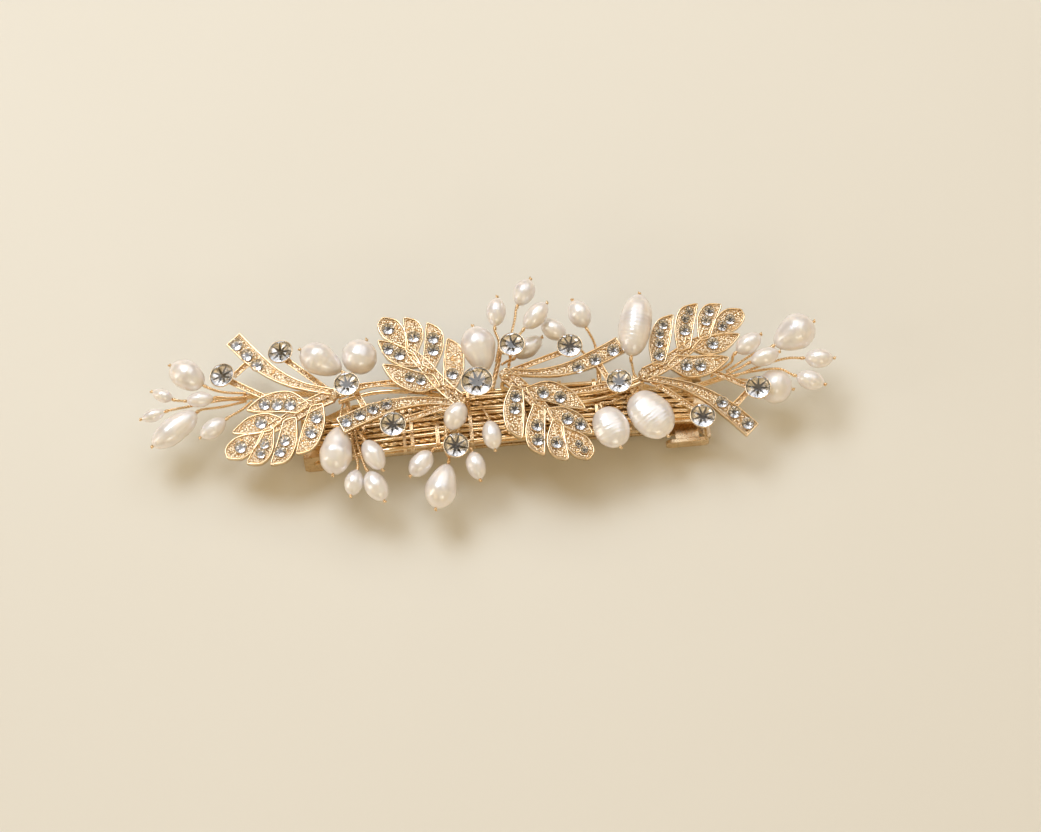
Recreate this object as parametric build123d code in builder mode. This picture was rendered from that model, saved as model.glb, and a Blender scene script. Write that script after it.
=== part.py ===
from build123d import *
from math import cos, sin, radians, sqrt, hypot, tan, acos
import os

os.makedirs("parts", exist_ok=True)

# ---------------------------------------------------------------------------
# Barrette: a 70 mm French clip under a spray of castings, stones and pearls.
# Frame: +X along the clip, +Z up out of the ornament, origin under the middle
# of the whole object on the plane the clip stands on. Millimetres.
# ---------------------------------------------------------------------------

# clip
clip_y = -2.85            # centre line of the clip
plate_left, plate_right = -31.0, 36.9
plate_mid_x = 4.5
plate_radius = 200.0      # radius of the arched top face
plate_top = 8.9           # top of the arch
plate_thick = 0.8
plate_half_width = 4.75
left_half_width = 3.6
right_half_width = 3.3
ear_thick = 0.7
ear_right = -25.5
pin_x, pin_z = -28.3, 2.9
pin_radius = 0.75
eye_bore = 0.80
eye_radius = 1.5
arm_half_width = 2.75
arm_slot_half_width = 3.25
arm_pad_half_width = 3.9
arm_thick = 0.7
slot_x0, slot_x1, slot_half = 30.7, 35.9, 2.0
pad_x0, pad_x1 = 36.5, 37.5
bow_half_width = 2.2
bow_eye_half = 1.3
bow_thick = 0.45
latch_x0, latch_x1 = 29.5, 36.7   # squeeze tabs
leg_x0, leg_x1 = 31.0, 35.6       # legs, which pass through the arm's slot
leg_inner, leg_outer = 1.35, 1.85
wing_inner, wing_outer = 5.25, 5.9
saddle_thick = 0.5

# backbone and bindings
backbone_r = 0.4
backbone_pitch = 0.945
binding_x = (-20.6, -14.0, -12.7, -8.5, -2.9, 6.2, 12.4, 18.2)
binding_w = 0.3

# castings
leaf_thick = 1.0
ribbon_thick = 0.9
pocket_depth = 0.25
rim = 0.4
pave_r = 0.93
cup_r = 2.12
stone_r = 1.93
bore_r = 0.33
wire_r = 0.24
knot_r = 0.41
tail_r = 0.38

clip_plane = Plane.XZ.offset(-clip_y)
arc_z = plate_top - plate_radius


def arch(x, drop=0.0):
    """Height of the arched surface that lies drop under the plate's top face."""
    return arc_z + sqrt((plate_radius - drop) ** 2 - (x - plate_mid_x) ** 2)


def axial(origin, direction):
    """Plane through an axis: local y runs along the axis, local x is the radius."""
    n = Vector(*direction).normalized()
    side = Vector(0, 0, 1) if abs(n.Z) < 0.9 else Vector(1, 0, 0)
    x = side.cross(n).normalized()
    return Plane(origin=origin, x_dir=x, z_dir=x.cross(n))


def bend_radii(points, largest=1.0):
    """One radius for each corner of a wire's route, as large as its runs allow."""
    radii = []
    for a, b, c in zip(points, points[1:], points[2:]):
        turn = radians((b - a).get_angle(c - b))
        run = min((b - a).length, (c - b).length, 1.6 if c is points[-1] else 9.0)
        radii.append(max(0.05, min(largest, 0.36 * run / tan(max(turn, 0.02) / 2))))
    return radii


def save(part, name):
    part.label = name
    export_step(part, f"parts/{name}.step")


# ---------------------------------------------------------------------------
# clip plate: arched strip, wide in the middle, with two ears folded down
# ---------------------------------------------------------------------------
with BuildPart() as clip_plate:
    with BuildSketch(clip_plane):
        with BuildLine():
            ThreePointArc(
                (plate_left, arch(plate_left)), (plate_mid_x, plate_top), (plate_right, arch(plate_right))
            )
            Line((plate_right, arch(plate_right)), (plate_right, arch(plate_right, plate_thick)))
            ThreePointArc(
                (plate_right, arch(plate_right, plate_thick)),
                (plate_mid_x, plate_top - plate_thick),
                (plate_left, arch(plate_left, plate_thick)),
            )
            Line((plate_left, arch(plate_left, plate_thick)), (plate_left, arch(plate_left)))
        make_face()
    extrude(amount=plate_half_width + 1, both=True)
    with BuildSketch(Plane.XY):
        with BuildLine():
            Polyline(
                (plate_left, clip_y - left_half_width),
                (-26.5, clip_y - left_half_width),
                (-23.2, clip_y - plate_half_width),
                (24.5, clip_y - plate_half_width),
                (28.4, clip_y - right_half_width),
                (plate_right, clip_y - right_half_width),
                (plate_right, clip_y + right_half_width),
                (28.4, clip_y + right_half_width),
                (24.5, clip_y + plate_half_width),
                (-23.2, clip_y + plate_half_width),
                (-26.5, clip_y + left_half_width),
                (plate_left, clip_y + left_half_width),
                close=True,
            )
        make_face()
        outer = vertices().group_by(Axis.X)[-1]
        fillet(outer, 2.2)
    extrude(amount=14, mode=Mode.INTERSECT)
    for side in (-1, 1):
        with BuildSketch(Plane.XZ.offset(-(clip_y + side * (left_half_width - ear_thick / 2)))):
            with BuildLine():
                Polyline(
                    (plate_left, 5.3), (plate_left, 0.7), (plate_left + 0.6, 0), (-28.3, 0),
                    (-27.7, 0.6), (-26.5, 2.0), (-26.3, 3.4), (ear_right, 4.6), (ear_right, 6.2), close=True,
                )
            make_face()
        extrude(amount=ear_thick / 2, both=True)
    with BuildSketch(clip_plane):
        with Locations((pin_x, pin_z)):
            Circle(pin_radius + 0.01)
    extrude(amount=left_half_width + 0.5, both=True, mode=Mode.SUBTRACT)
save(clip_plate.part, "clip_plate")

# hinge pin with riveted ends
with BuildPart() as hinge_pin:
    with BuildSketch(clip_plane):
        with Locations((pin_x, pin_z)):
            Circle(pin_radius)
    extrude(amount=left_half_width + 0.35, both=True)
    for side in (-1, 1):
        with BuildSketch(Plane.XZ.offset(-(clip_y + side * (left_half_width + 0.19)))):
            with Locations((pin_x, pin_z)):
                Circle(pin_radius + 0.35)
        extrude(amount=0.16, both=True)
save(hinge_pin.part, "hinge_pin")

# ---------------------------------------------------------------------------
# clasp arm: strip with two rolled eyes, a slot for the latch and a foot pad
# ---------------------------------------------------------------------------
with BuildPart() as clasp_arm:
    with BuildSketch(clip_plane):
        with BuildLine():
            ThreePointArc((pin_x, pin_z - eye_radius), (2.0, 1.75), (28.0, 0.95))
            Polyline((28.0, 0.95), (slot_x1 + 0.1, 0.95), (pad_x0, 0.0), (pad_x1, 0.0), (pad_x1, arm_thick),
                     (pad_x0 + 0.35, arm_thick), (slot_x1 + 0.35, 0.95 + arm_thick), (28.0, 0.95 + arm_thick))
            ThreePointArc((28.0, 0.95 + arm_thick), (2.0, 1.75 + arm_thick), (pin_x, pin_z - eye_bore))
            Line((pin_x, pin_z - eye_bore), (pin_x, pin_z - eye_radius))
        make_face()
    extrude(amount=arm_pad_half_width, both=True)
    with BuildSketch(Plane.XY):
        with BuildLine():
            Polyline(
                (pin_x - 1, clip_y - arm_half_width), (26.0, clip_y - arm_half_width),
                (27.6, clip_y - arm_slot_half_width), (slot_x1 - 0.2, clip_y - arm_slot_half_width),
                (pad_x0, clip_y - arm_pad_half_width), (pad_x1, clip_y - arm_pad_half_width),
                (pad_x1, clip_y + arm_pad_half_width), (pad_x0, clip_y + arm_pad_half_width),
                (slot_x1 - 0.2, clip_y + arm_slot_half_width), (27.6, clip_y + arm_slot_half_width),
                (26.0, clip_y + arm_half_width), (pin_x - 1, clip_y + arm_half_width), close=True,
            )
        make_face()
        fillet(vertices().group_by(Axis.X)[-1], 0.5)
    extrude(amount=6, mode=Mode.INTERSECT)
    for side in (-1, 1):
        with BuildSketch(Plane.XZ.offset(-(clip_y + side * (arm_half_width + 1.45) / 2))):
            with Locations((pin_x, pin_z)):
                Circle(eye_radius)
        extrude(amount=(arm_half_width - 1.45) / 2, both=True)
    with BuildSketch(clip_plane):
        with Locations((pin_x, pin_z)):
            Circle(eye_bore)
    extrude(amount=arm_half_width + 0.5, both=True, mode=Mode.SUBTRACT)
    with BuildSketch(Plane.XY):
        with Locations(((slot_x0 + slot_x1) / 2, clip_y)):
            Rectangle(slot_x1 - slot_x0, 2 * slot_half)
        with Locations(((pin_x - 2 - 26.2) / 2, clip_y)):
            Rectangle(pin_x * -1 + 2 - 26.2, 2 * 1.45)
    extrude(amount=5, mode=Mode.SUBTRACT)
save(clasp_arm.part, "clasp_arm")

# tension bar: thin bowed strip with one rolled eye between the arm's two
with BuildPart() as bow_spring:
    with BuildSketch(clip_plane):
        with BuildLine():
            ThreePointArc((pin_x, pin_z + eye_radius - bow_thick), (-2.0, 3.0), (27.5, 6.02))
            Line((27.5, 6.02), (27.5, 6.02 + bow_thick))
            ThreePointArc((27.5, 6.02 + bow_thick), (-2.0, 3.0 + bow_thick), (pin_x, pin_z + eye_radius))
            Line((pin_x, pin_z + eye_radius), (pin_x, pin_z + eye_radius - bow_thick))
        make_face()
    extrude(amount=bow_half_width, both=True)
    with BuildSketch(Plane.XY):
        with BuildLine():
            Polyline(
                (pin_x - 1, clip_y - bow_eye_half), (-26.2, clip_y - bow_eye_half), (-24.6, clip_y - bow_half_width),
                (27.5, clip_y - bow_half_width), (27.5, clip_y + bow_half_width),
                (-24.6, clip_y + bow_half_width), (-26.2, clip_y + bow_eye_half), (pin_x - 1, clip_y + bow_eye_half),
                close=True,
            )
        make_face()
        fillet(vertices().group_by(Axis.X)[-1], 1.5)
    extrude(amount=9, mode=Mode.INTERSECT)
    with BuildSketch(clip_plane):
        with Locations((pin_x, pin_z)):
            Circle(eye_radius)
    extrude(amount=bow_eye_half, both=True)
    with BuildSketch(clip_plane):
        with Locations((pin_x, pin_z)):
            Circle(eye_bore)
    extrude(amount=bow_eye_half + 0.5, both=True, mode=Mode.SUBTRACT)
save(bow_spring.part, "bow_spring")

# latch: fixed saddle under the plate and two ears that flex at its folds
with BuildPart() as latch_saddle:
    with BuildSketch(clip_plane):
        with BuildLine():
            xm = (leg_x0 + leg_x1) / 2
            ThreePointArc(
                (leg_x0, arch(leg_x0, plate_thick)), (xm, arch(xm, plate_thick)),
                (leg_x1, arch(leg_x1, plate_thick)),
            )
            Line((leg_x1, arch(leg_x1, plate_thick)), (leg_x1, arch(leg_x1, plate_thick + saddle_thick)))
            ThreePointArc(
                (leg_x1, arch(leg_x1, plate_thick + saddle_thick)), (xm, arch(xm, plate_thick + saddle_thick)),
                (leg_x0, arch(leg_x0, plate_thick + saddle_thick)),
            )
            Line((leg_x0, arch(leg_x0, plate_thick + saddle_thick)), (leg_x0, arch(leg_x0, plate_thick)))
        make_face()
    extrude(amount=leg_outer + 0.15, both=True)
save(latch_saddle.part, "latch_saddle")

ear_drop = plate_thick + saddle_thick + 0.15
fold_r = 0.34    # outer radius of the bend at the top of each leg


def fold_z(x):
    """Height of the fold's centre line, just under the saddle."""
    return arch(x, ear_drop) - fold_r


for side, ear_name in ((-1, "latch_ear_front"), (1, "latch_ear_rear")):
    with BuildPart() as latch_ear:
        with BuildSketch(Plane.XZ.offset(-(clip_y + side * (leg_inner + leg_outer) / 2))):
            with BuildLine():
                Polyline(
                    (leg_x0, fold_z(leg_x0)), (leg_x1, fold_z(leg_x1)),
                    (leg_x1, 1.3), (leg_x1 - 0.8, 0.5), (leg_x0 + 0.8, 0.5), (leg_x0, 1.3), close=True,
                )
            make_face()
        extrude(amount=(leg_outer - leg_inner) / 2, both=True)
        # rounded fold along the top of the leg, which the leg turns about
        fold_a = Vector(leg_x0, clip_y + side * (leg_inner + leg_outer) / 2, fold_z(leg_x0))
        fold_b = Vector(leg_x1, clip_y + side * (leg_inner + leg_outer) / 2, fold_z(leg_x1))
        with BuildSketch(Plane(origin=fold_a, z_dir=fold_b - fold_a)):
            Circle(fold_r)
        extrude(amount=(fold_b - fold_a).length)
        with BuildSketch(Plane.XZ.offset(-(clip_y + side * (leg_outer + wing_outer) / 2))):
            with Locations(((latch_x0 + latch_x1) / 2, 4.15)):
                Rectangle(leg_x1 - leg_x0 - 0.6, 0.5)
        extrude(amount=(wing_outer - leg_outer) / 2, both=True)
        with BuildSketch(Plane.XZ.offset(-(clip_y + side * (wing_inner + wing_outer) / 2))):
            with Locations(((latch_x0 + latch_x1) / 2, 3.35)):
                RectangleRounded(latch_x1 - latch_x0, 2.3, 0.9)
        extrude(amount=(wing_outer - wing_inner) / 2, both=True)
    save(latch_ear.part, ear_name)

# ---------------------------------------------------------------------------
# backbone: ten wires side by side along the arch, and the bindings round them
# ---------------------------------------------------------------------------
wire_arc_r = plate_radius + backbone_r + 0.04
with BuildPart() as backbone_wires:
    for i in range(10):
        y_rel = (i - 4.5) * backbone_pitch
        inner = abs(y_rel) < 3.0
        x0 = -29.0 + 0.6 * (i % 3) if inner else -22.8 + 0.5 * (i % 2)
        x1 = 35.6 - 0.7 * (i % 4) if inner else 23.8 - 0.6 * (i % 2)
        wp = Plane.XZ.offset(-(clip_y + y_rel))
        zs = [arc_z + sqrt(wire_arc_r**2 - (x - plate_mid_x) ** 2) for x in (x0, x1)]
        with BuildLine(wp) as wire_path:
            ThreePointArc((x0, zs[0]), (plate_mid_x, arc_z + wire_arc_r), (x1, zs[1]))
        with BuildSketch(Plane(origin=wire_path.line @ 0, z_dir=wire_path.line % 0)):
            Circle(backbone_r)
        sweep(path=wire_path.line)
save(backbone_wires.part, "backbone_wires")

with BuildPart() as binding_wires:
    for x in binding_x:
        half = plate_half_width + 0.08
        z1 = arch(x) + 2 * backbone_r + 0.14
        z0 = arch(x, plate_thick) - 0.12
        with BuildSketch(Plane.YZ.offset(x)):
            with Locations((clip_y, (z0 + z1) / 2)):
                RectangleRounded(2 * (half + 0.28), z1 - z0 + 0.56, 0.8)
                RectangleRounded(2 * half, z1 - z0, 0.1, mode=Mode.SUBTRACT)
        extrude(amount=binding_w / 2, both=True)
save(binding_wires.part, "binding_wires")

# ---------------------------------------------------------------------------
# castings: one template, in two hands, placed four times
# local frame: origin at the junction of leaf and ribbon, +x away from it
# ---------------------------------------------------------------------------
leaflets = [  # outer edge from base to tip, inner edge from tip to base
    ([(2.1, 1.0), (2.75, 4.7), (5.2, 8.0), (7.9, 8.4)], [(7.9, 8.4), (5.95, 4.3), (3.9, 0.9)]),
    ([(6.9, 2.2), (7.85, 6.5), (9.7, 8.95), (12.4, 9.15)], [(12.4, 9.15), (10.5, 5.6), (8.8, 2.2)]),
    ([(10.9, 3.0), (12.1, 7.0), (14.0, 8.4), (16.25, 7.9)], [(16.25, 7.9), (14.0, 5.05), (12.5, 2.9)]),
    ([(12.6, 3.3), (14.9, 5.75), (17.0, 6.7), (19.2, 6.1)], [(19.2, 6.1), (19.2, 4.7), (17.4, 3.3), (15.2, 3.1), (12.6, 3.3)]),
    ([(9.2, 1.8), (11.2, 0.45), (14.3, 0.2), (17.6, 2.0)], [(17.6, 2.0), (14.6, 2.95), (11.4, 3.1)]),
    ([(4.4, 0.2), (7.0, -2.5), (11.0, -2.9), (14.5, -1.4)], [(14.5, -1.4), (12.3, -0.45), (8.4, 0.5), (6.4, 1.3)]),
]
vein = [(-0.6, -0.3), (0.0, 0.9), (2.3, 1.3), (5.2, 2.1), (8.2, 3.1), (11.4, 3.7), (13.4, 3.8), (13.4, 3.3),
        (11.6, 2.2), (8.8, 1.2), (5.9, 0.0), (2.8, -0.9), (0.2, -1.3)]
ribbon_upper = [(-0.6, 0.1), (4.3, -2.15), (8.5, -4.75), (12.6, -8.9), (15.72, -13.78)]
ribbon_lower = [(13.07, -15.32), (10.4, -10.8), (7.75, -6.95), (4.4, -3.85), (-0.5, -1.2)]
cup_stems = [
    [(0.4, -1.6), (6.2, -8.9), (6.8, -8.3), (1.1, -1.2)],
    [(10.2, -2.5), (16.2, -7.7), (16.9, -7.1), (11.2, -2.4)],
    [(12.4, -9.3), (15.4, -7.6), (15.9, -8.2), (12.9, -10.1)],
]
cups_local = [((7.07, -9.94), 0.8), ((17.32, -8.01), 1.6)]

castings = {
    "casting_left_outer": dict(at=(-25.08, 2.40, 10.4), yaw=187.4, pitch=-5.8, roll=-0.8, hand=1, lean=((-0.20, 0.10), (-0.26, 0.06))),
    "casting_left_inner": dict(at=(-4.07, -0.97, 12.1), yaw=143.2, pitch=-1.6, roll=3.2, hand=-1, lean=((-0.02, -0.04), (-0.06, 0.05))),
    "casting_right_inner": dict(at=(3.29, 2.75, 12.1), yaw=-33.7, pitch=-2.9, roll=-0.6, hand=-1, lean=((-0.03, 0.06), (-0.08, 0.04))),
    "casting_right_outer": dict(at=(26.46, 1.35, 11.2), yaw=12.1, pitch=-1.9, roll=5.5, hand=1, lean=((0.02, 0.0), (-0.05, 0.05))),
}
pave = {
    "casting_left_outer": [(3.52, 3.01), (4.88, 5.41), (9.43, 5.64), (10.54, 7.31), (12.85, 5.33), (13.75, 6.85), (16.79, 4.89),
                           (12.68, 1.55), (11.48, -1.55), (9.45, -0.95), (7.35, -0.36), (14.0, -13.3), (12.65, -10.95), (11.35, -8.75)],
    "casting_left_inner": [(3.75, 3.2), (8.83, 5.3), (10.07, 7.19), (12.94, 5.72), (17.4, 4.75), (13.2, 1.65), (15.4, 1.5),
                           (9.4, -1.02), (7.6, -0.5), (14.0, -13.4), (12.75, -11.2), (11.5, -9.1), (10.05, -7.25)],
    "casting_right_inner": [(3.55, 2.4), (4.45, 4.4), (9.07, 5.2), (10.41, 7.4), (13.32, 6.3), (16.6, 4.75), (17.9, 5.2),
                            (12.9, 1.7), (15.2, 1.5), (7.18, -0.4), (10.0, -1.1), (10.1, -7.3), (11.95, -9.9), (13.75, -12.9)],
    "casting_right_outer": [(3.5, 2.3), (4.15, 4.3), (4.75, 5.85), (5.8, 7.25), (9.0, 5.3), (9.7, 7.2), (10.75, 8.25), (12.95, 5.9),
                            (14.0, 7.35), (16.9, 5.0), (15.25, 4.25), (12.75, 1.75), (7.3, -0.7), (9.55, -1.35), (11.0, -8.45), (12.4, -10.75),
                            (13.9, -13.2)],
}


def stone_radii(points):
    """A stone is as large as its nearest neighbour leaves room for."""
    radii = []
    for i, (x, y) in enumerate(points):
        near = min(hypot(x - a, y - b) for j, (a, b) in enumerate(points) if j != i)
        radii.append(round(min(pave_r, near / 2 - 0.05), 3))
    return radii


def casting_plane(at, yaw, pitch, roll, **_):
    """Plane of a casting: yaw about Z, then the outer end's drop and the roll."""
    cy, sy, cp, sp = cos(radians(yaw)), sin(radians(yaw)), cos(radians(pitch)), sin(radians(pitch))
    cr, sr = cos(radians(roll)), sin(radians(roll))
    x_dir = (cy * cp, sy * cp, sp)
    z_dir = (sy * sr - cy * sp * cr, -cy * sr - sy * sp * cr, cp * cr)
    return Plane(origin=at, x_dir=x_dir, z_dir=z_dir)


tails = {
    "casting_left_outer": [[(-24.39, 2.61, 9.45), (-18.61, 4.14, 9.7), (-12.33, 3.18, 10.2), (-6.48, 1.6, 10.5)],
                           [(-24.42, 1.75, 9.40), (-18.21, 2.9, 9.5), (-10.76, 2.0, 10.05), (-6.9, 0.74, 10.4)]],
    "casting_right_outer": [[(26.6, 1.25, 10.3), (20.35, -0.6, 10.05), (14.8, -1.0, 10.3), (6.08, 0.05, 10.55)],
                            [(26.4, 0.35, 10.28), (20.31, -1.7, 10.05), (14.87, -2.3, 10.2), (7.5, -1.7, 10.35)]],
    "casting_left_inner": [[(-4.3, -0.6, 11.15), (-3.9, -1.4, 10.6), (-5.6, -2.3, 10.3), (-9.2, -3.1, 10.25)]],
    "casting_right_inner": [[(3.3, 2.4, 11.15), (2.9, 1.4, 10.7), (4.2, 0.6, 10.45), (4.9, -0.9, 10.4)]],
}

chaton_places = []   # (centre of the girdle, direction of the stone's axis)
pave_places = []     # (centre, direction, radius)
for name, spec in castings.items():
    home = casting_plane(**spec)
    hand = spec["hand"]
    flip = lambda pts: [(x, y * hand) for x, y in pts]
    radii = stone_radii(pave[name])
    with BuildPart() as casting:
        for outer_edge, inner_edge in leaflets:
            with BuildSketch(home.offset(-leaf_thick / 2)):
                with BuildLine():
                    Spline(*flip(outer_edge))
                    Spline(*flip(inner_edge))
                    Line(flip(inner_edge)[-1], flip(outer_edge)[0]) if inner_edge[-1] != outer_edge[0] else None
                make_face()
            extrude(amount=leaf_thick)
        with BuildSketch(home.offset(-leaf_thick / 2 + 0.1)):
            with BuildLine():
                Polyline(*flip(vein), close=True)
            make_face()
        extrude(amount=leaf_thick - 0.2)
        with BuildSketch(home.offset(-ribbon_thick / 2)):
            with BuildLine():
                Spline(*flip(ribbon_upper))
                Line(flip(ribbon_upper)[-1], flip(ribbon_lower)[0])
                Spline(*flip(ribbon_lower))
                Line(flip(ribbon_lower)[-1], flip(ribbon_upper)[0])
            make_face()
        extrude(amount=ribbon_thick)
        for strip in cup_stems:
            with BuildSketch(home.offset(-0.3)):
                with BuildLine():
                    Polyline(*flip(strip), close=True)
                make_face()
            extrude(amount=0.6)
        # cups for the two larger stones
        for (spot, lift), lean in zip(cups_local, spec["lean"]):
            centre = home.from_local_coords(Vector(spot[0], spot[1] * hand, lift))
            axis_dir = Vector(lean[0], lean[1], 1).normalized()
            chaton_places.append((centre, axis_dir))
            with BuildSketch(axial(centre, axis_dir)):
                with BuildLine():
                    Polyline((0, -1.95), (0.85, -1.95), (cup_r, -0.05), (cup_r, 0.15), (stone_r + 0.02, 0.15),
                             (stone_r + 0.02, -0.1), (0.25, -1.6), (0, -1.6), close=True)
                make_face()
            revolve(axis=Axis(centre, axis_dir))
        # pockets for the small stones
        for (x, y), r in zip(pave[name], radii):
            with BuildSketch(home.offset(0.0)):
                with Locations((x, y * hand)):
                    Circle(r + 0.02)
            extrude(amount=2.0, mode=Mode.SUBTRACT)
            pave_places.append((home.from_local_coords(Vector(x, y * hand, 0.0)), home.z_dir, r))
    # tail rods that lie along the backbone, soldered under the casting
    solids = [casting.part.solid()]
    for route in tails[name]:
        route = [Vector(*p) for p in route]
        with BuildPart() as tail:
            with BuildLine() as rod:
                FilletPolyline(*route, radius=bend_radii(route, 3.0))
            with BuildSketch(Plane(origin=rod.line @ 0, z_dir=rod.line % 0)):
                Circle(tail_r)
            sweep(path=rod.line)
        solids.append(tail.part.solid())
    print(name, "solids", [round(s.volume, 2) for s in solids], len(casting.part.solids()))
    save(Compound(solids), name)

with BuildPart() as pave_stones:
    for centre, direction, r in pave_places:
        with BuildSketch(axial(centre, direction)):
            with BuildLine():
                Polyline((0, 0.01), (r - 0.3, 0.01), (r, 0.42), (r, 0.5), (0.55 * r, 0.78), (0, 0.78), close=True)
            make_face()
        revolve(axis=Axis(centre, direction))
save(pave_stones.part, "pave_stones")

# ---------------------------------------------------------------------------
# centre stone, and two more stones on wire posts
# ---------------------------------------------------------------------------
centre_at, centre_dir = Vector(-1.28, 0.97, 15.0), Vector(-0.02, 0.02, 1).normalized()
centre_r = 2.5
with BuildPart() as centre_setting:
    with BuildSketch(axial(centre_at, centre_dir)):
        with BuildLine():
            Polyline((0, -2.9), (0.7, -2.9), (1.0, -2.3), (centre_r + 0.2, -0.05), (centre_r + 0.2, 0.15), (centre_r + 0.02, 0.15),
                     (centre_r + 0.02, -0.1), (0.3, -2.0), (0, -2.0), close=True)
        make_face()
    revolve(axis=Axis(centre_at, centre_dir))
    with Locations((centre_at.X, centre_at.Y, (9.95 + 12.5) / 2)):
        Cylinder(0.5, 12.5 - 9.95)
save(centre_setting.part, "centre_setting")

with BuildPart() as centre_stone:
    with BuildSketch(axial(centre_at, centre_dir)):
        with BuildLine():
            Polyline((0, -1.9), (centre_r, -0.08), (centre_r, 0.1), (1.4, 0.85), (0, 0.85), close=True)
        make_face()
    revolve(axis=Axis(centre_at, centre_dir))
save(centre_stone.part, "centre_stone")

posts = [
    (Vector(5.14, 7.72, 13.6), Vector(-0.05, 0.05, 1).normalized(), [(3.9, 3.2, 10.35), (4.4, 5.2, 10.9), (5.1, 7.7, 11.9)]),
    (Vector(-5.64, -8.57, 11.4), Vector(0.0, -0.06, 1).normalized(), [(-4.9, -5.0, 10.05), (-5.3, -7.1, 9.8), (-5.64, -8.4, 9.6)]),
]
with BuildPart() as wire_settings:
    for centre, direction, route in posts:
        with BuildSketch(axial(centre, direction)):
            with BuildLine():
                Polyline((0, -1.95), (0.85, -1.95), (cup_r, -0.05), (cup_r, 0.15), (stone_r + 0.02, 0.15),
                         (stone_r + 0.02, -0.1), (0.25, -1.6), (0, -1.6), close=True)
            make_face()
        revolve(axis=Axis(centre, direction))
        route = [Vector(*p) for p in route]
        with BuildLine() as post:
            FilletPolyline(*route, radius=bend_radii(route))
        with BuildSketch(Plane(origin=post.line @ 0, z_dir=post.line % 0)):
            Circle(0.3)
        sweep(path=post.line)
        chaton_places.append((centre, direction))
print("wire_settings solids", len(wire_settings.part.solids()))
save(wire_settings.part, "wire_settings")

with BuildPart() as chaton_stones:
    for centre, direction in chaton_places:
        with BuildSketch(axial(centre, direction)):
            with BuildLine():
                Polyline((0, -1.5), (stone_r, -0.08), (stone_r, 0.08), (1.1, 0.65), (0, 0.65), close=True)
            make_face()
        revolve(axis=Axis(centre, direction))
save(chaton_stones.part, "chaton_stones")

# ---------------------------------------------------------------------------
# pearls: base of the drill hole, tip of the drill hole, largest radius, form
# ---------------------------------------------------------------------------
pearls = {
    "pearl_left_round": ((-46.5, 6.22, 11.2), (-51.57, 9.9, 11.8), 2.48, "round"),
    "pearl_left_long": ((-48.07, 2.11, 9.3), (-55.51, -2.85, 8.6), 2.24, "long"),
    "rice_left_1": ((-51.8, 4.44, 10.6), (-54.86, 5.91, 10.8), 1.16, "rice"),
    "rice_left_2": ((-45.03, 3.92, 10.74), (-49.33, 3.7, 10.94), 1.32, "rice"),
    "rice_left_3": ((-53.28, 2.48, 10.0), (-56.99, 1.66, 9.8), 1.08, "rice"),
    "rice_left_4": ((-43.34, 0.35, 9.4), (-47.49, -2.16, 9.0), 1.58, "rice"),
    "pearl_upleft_outer": ((-23.51, 6.32, 11.8), (-29.85, 10.4, 12.6), 2.72, "egg"),
    "pearl_upleft_inner": ((-21.57, 6.03, 11.2), (-18.97, 11.11, 12.4), 3.05, "round"),
    "pearl_frontleft_drop": ((-24.42, -3.26, 10.7), (-26.17, -11.29, 10.2), 2.81, "egg"),
    "rice_frontleft_1": ((-22.22, -10.55, 9.2), (-23.53, -14.71, 8.8), 1.58, "rice"),
    "rice_frontleft_2": ((-20.43, -11.24, 9.6), (-18.2, -16.18, 9.0), 1.91, "rice"),
    "rice_frontleft_3": ((-20.49, -6.23, 10.9), (-18.09, -11.21, 10.3), 1.82, "rice"),
    "rice_front_1": ((-3.95, -2.28, 13.99), (-6.6, -6.13, 12.6), 1.9, "rice"),
    "rice_front_2": ((-9.83, -8.76, 9.8), (-13.44, -12.28, 9.2), 1.82, "rice"),
    "pearl_front_drop": ((-7.21, -10.99, 9.4), (-9.82, -18.08, 8.2), 2.74, "egg"),
    "rice_front_3": ((-3.1, -9.4, 9.8), (-2.21, -14.14, 9.4), 1.66, "rice"),
    "rice_front_4": ((0.14, -4.9, 11.6), (0.68, -9.8, 11.2), 1.65, "rice"),
    "pearl_back_drop": ((0.28, 3.96, 11.6), (-1.01, 11.79, 12.8), 2.89, "egg"),
    "rice_back_1": ((2.64, 11.35, 13.4), (3.41, 16.08, 14.2), 1.64, "rice"),
    "rice_back_2": ((6.8, 14.65, 13.8), (9.19, 18.68, 14.6), 1.81, "rice"),
    "rice_back_3": ((7.54, 10.21, 14.15), (11.41, 13.81, 15.15), 1.73, "rice"),
    "rice_back_4": ((5.72, 6.91, 10.0), (10.19, 9.71, 10.6), 1.66, "rice"),
    "rice_back_5": ((14.18, 9.26, 11.19), (10.56, 11.87, 12.29), 1.73, "rice"),
    "rice_back_6": ((17.75, 10.01, 12.8), (16.01, 14.51, 13.8), 1.89, "rice"),
    "pearl_ridged": ((24.68, 3.95, 13.06), (27.16, 14.65, 13.72), 2.8, "ridged"),
    "pearl_right_button": ((18.95, -4.45, 11.78), (21.23, -11.32, 11.37), 3.0, "button"),
    "pearl_right_large": ((24.52, -2.22, 11.2), (29.22, -9.9, 10.9), 3.45, "button"),
    "rice_right_1": ((42.32, 3.35, 12.2), (46.44, 5.81, 12.8), 1.65, "rice"),
    "rice_right_2": ((44.5, 1.55, 11.68), (49.16, 2.72, 12.17), 1.57, "rice"),
    "pearl_right_round": ((48.83, 4.2, 11.8), (55.55, 7.34, 12.8), 3.05, "egg"),
    "rice_right_3": ((53.59, 1.63, 11.2), (58.2, 1.11, 11.4), 1.65, "rice"),
    "rice_right_4": ((51.91, -1.23, 10.6), (56.22, -3.01, 10.4), 1.65, "rice"),
    "pearl_right_low": ((45.77, -0.87, 8.2), (51.15, -2.39, 8.0), 2.99, "round"),
}


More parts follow.
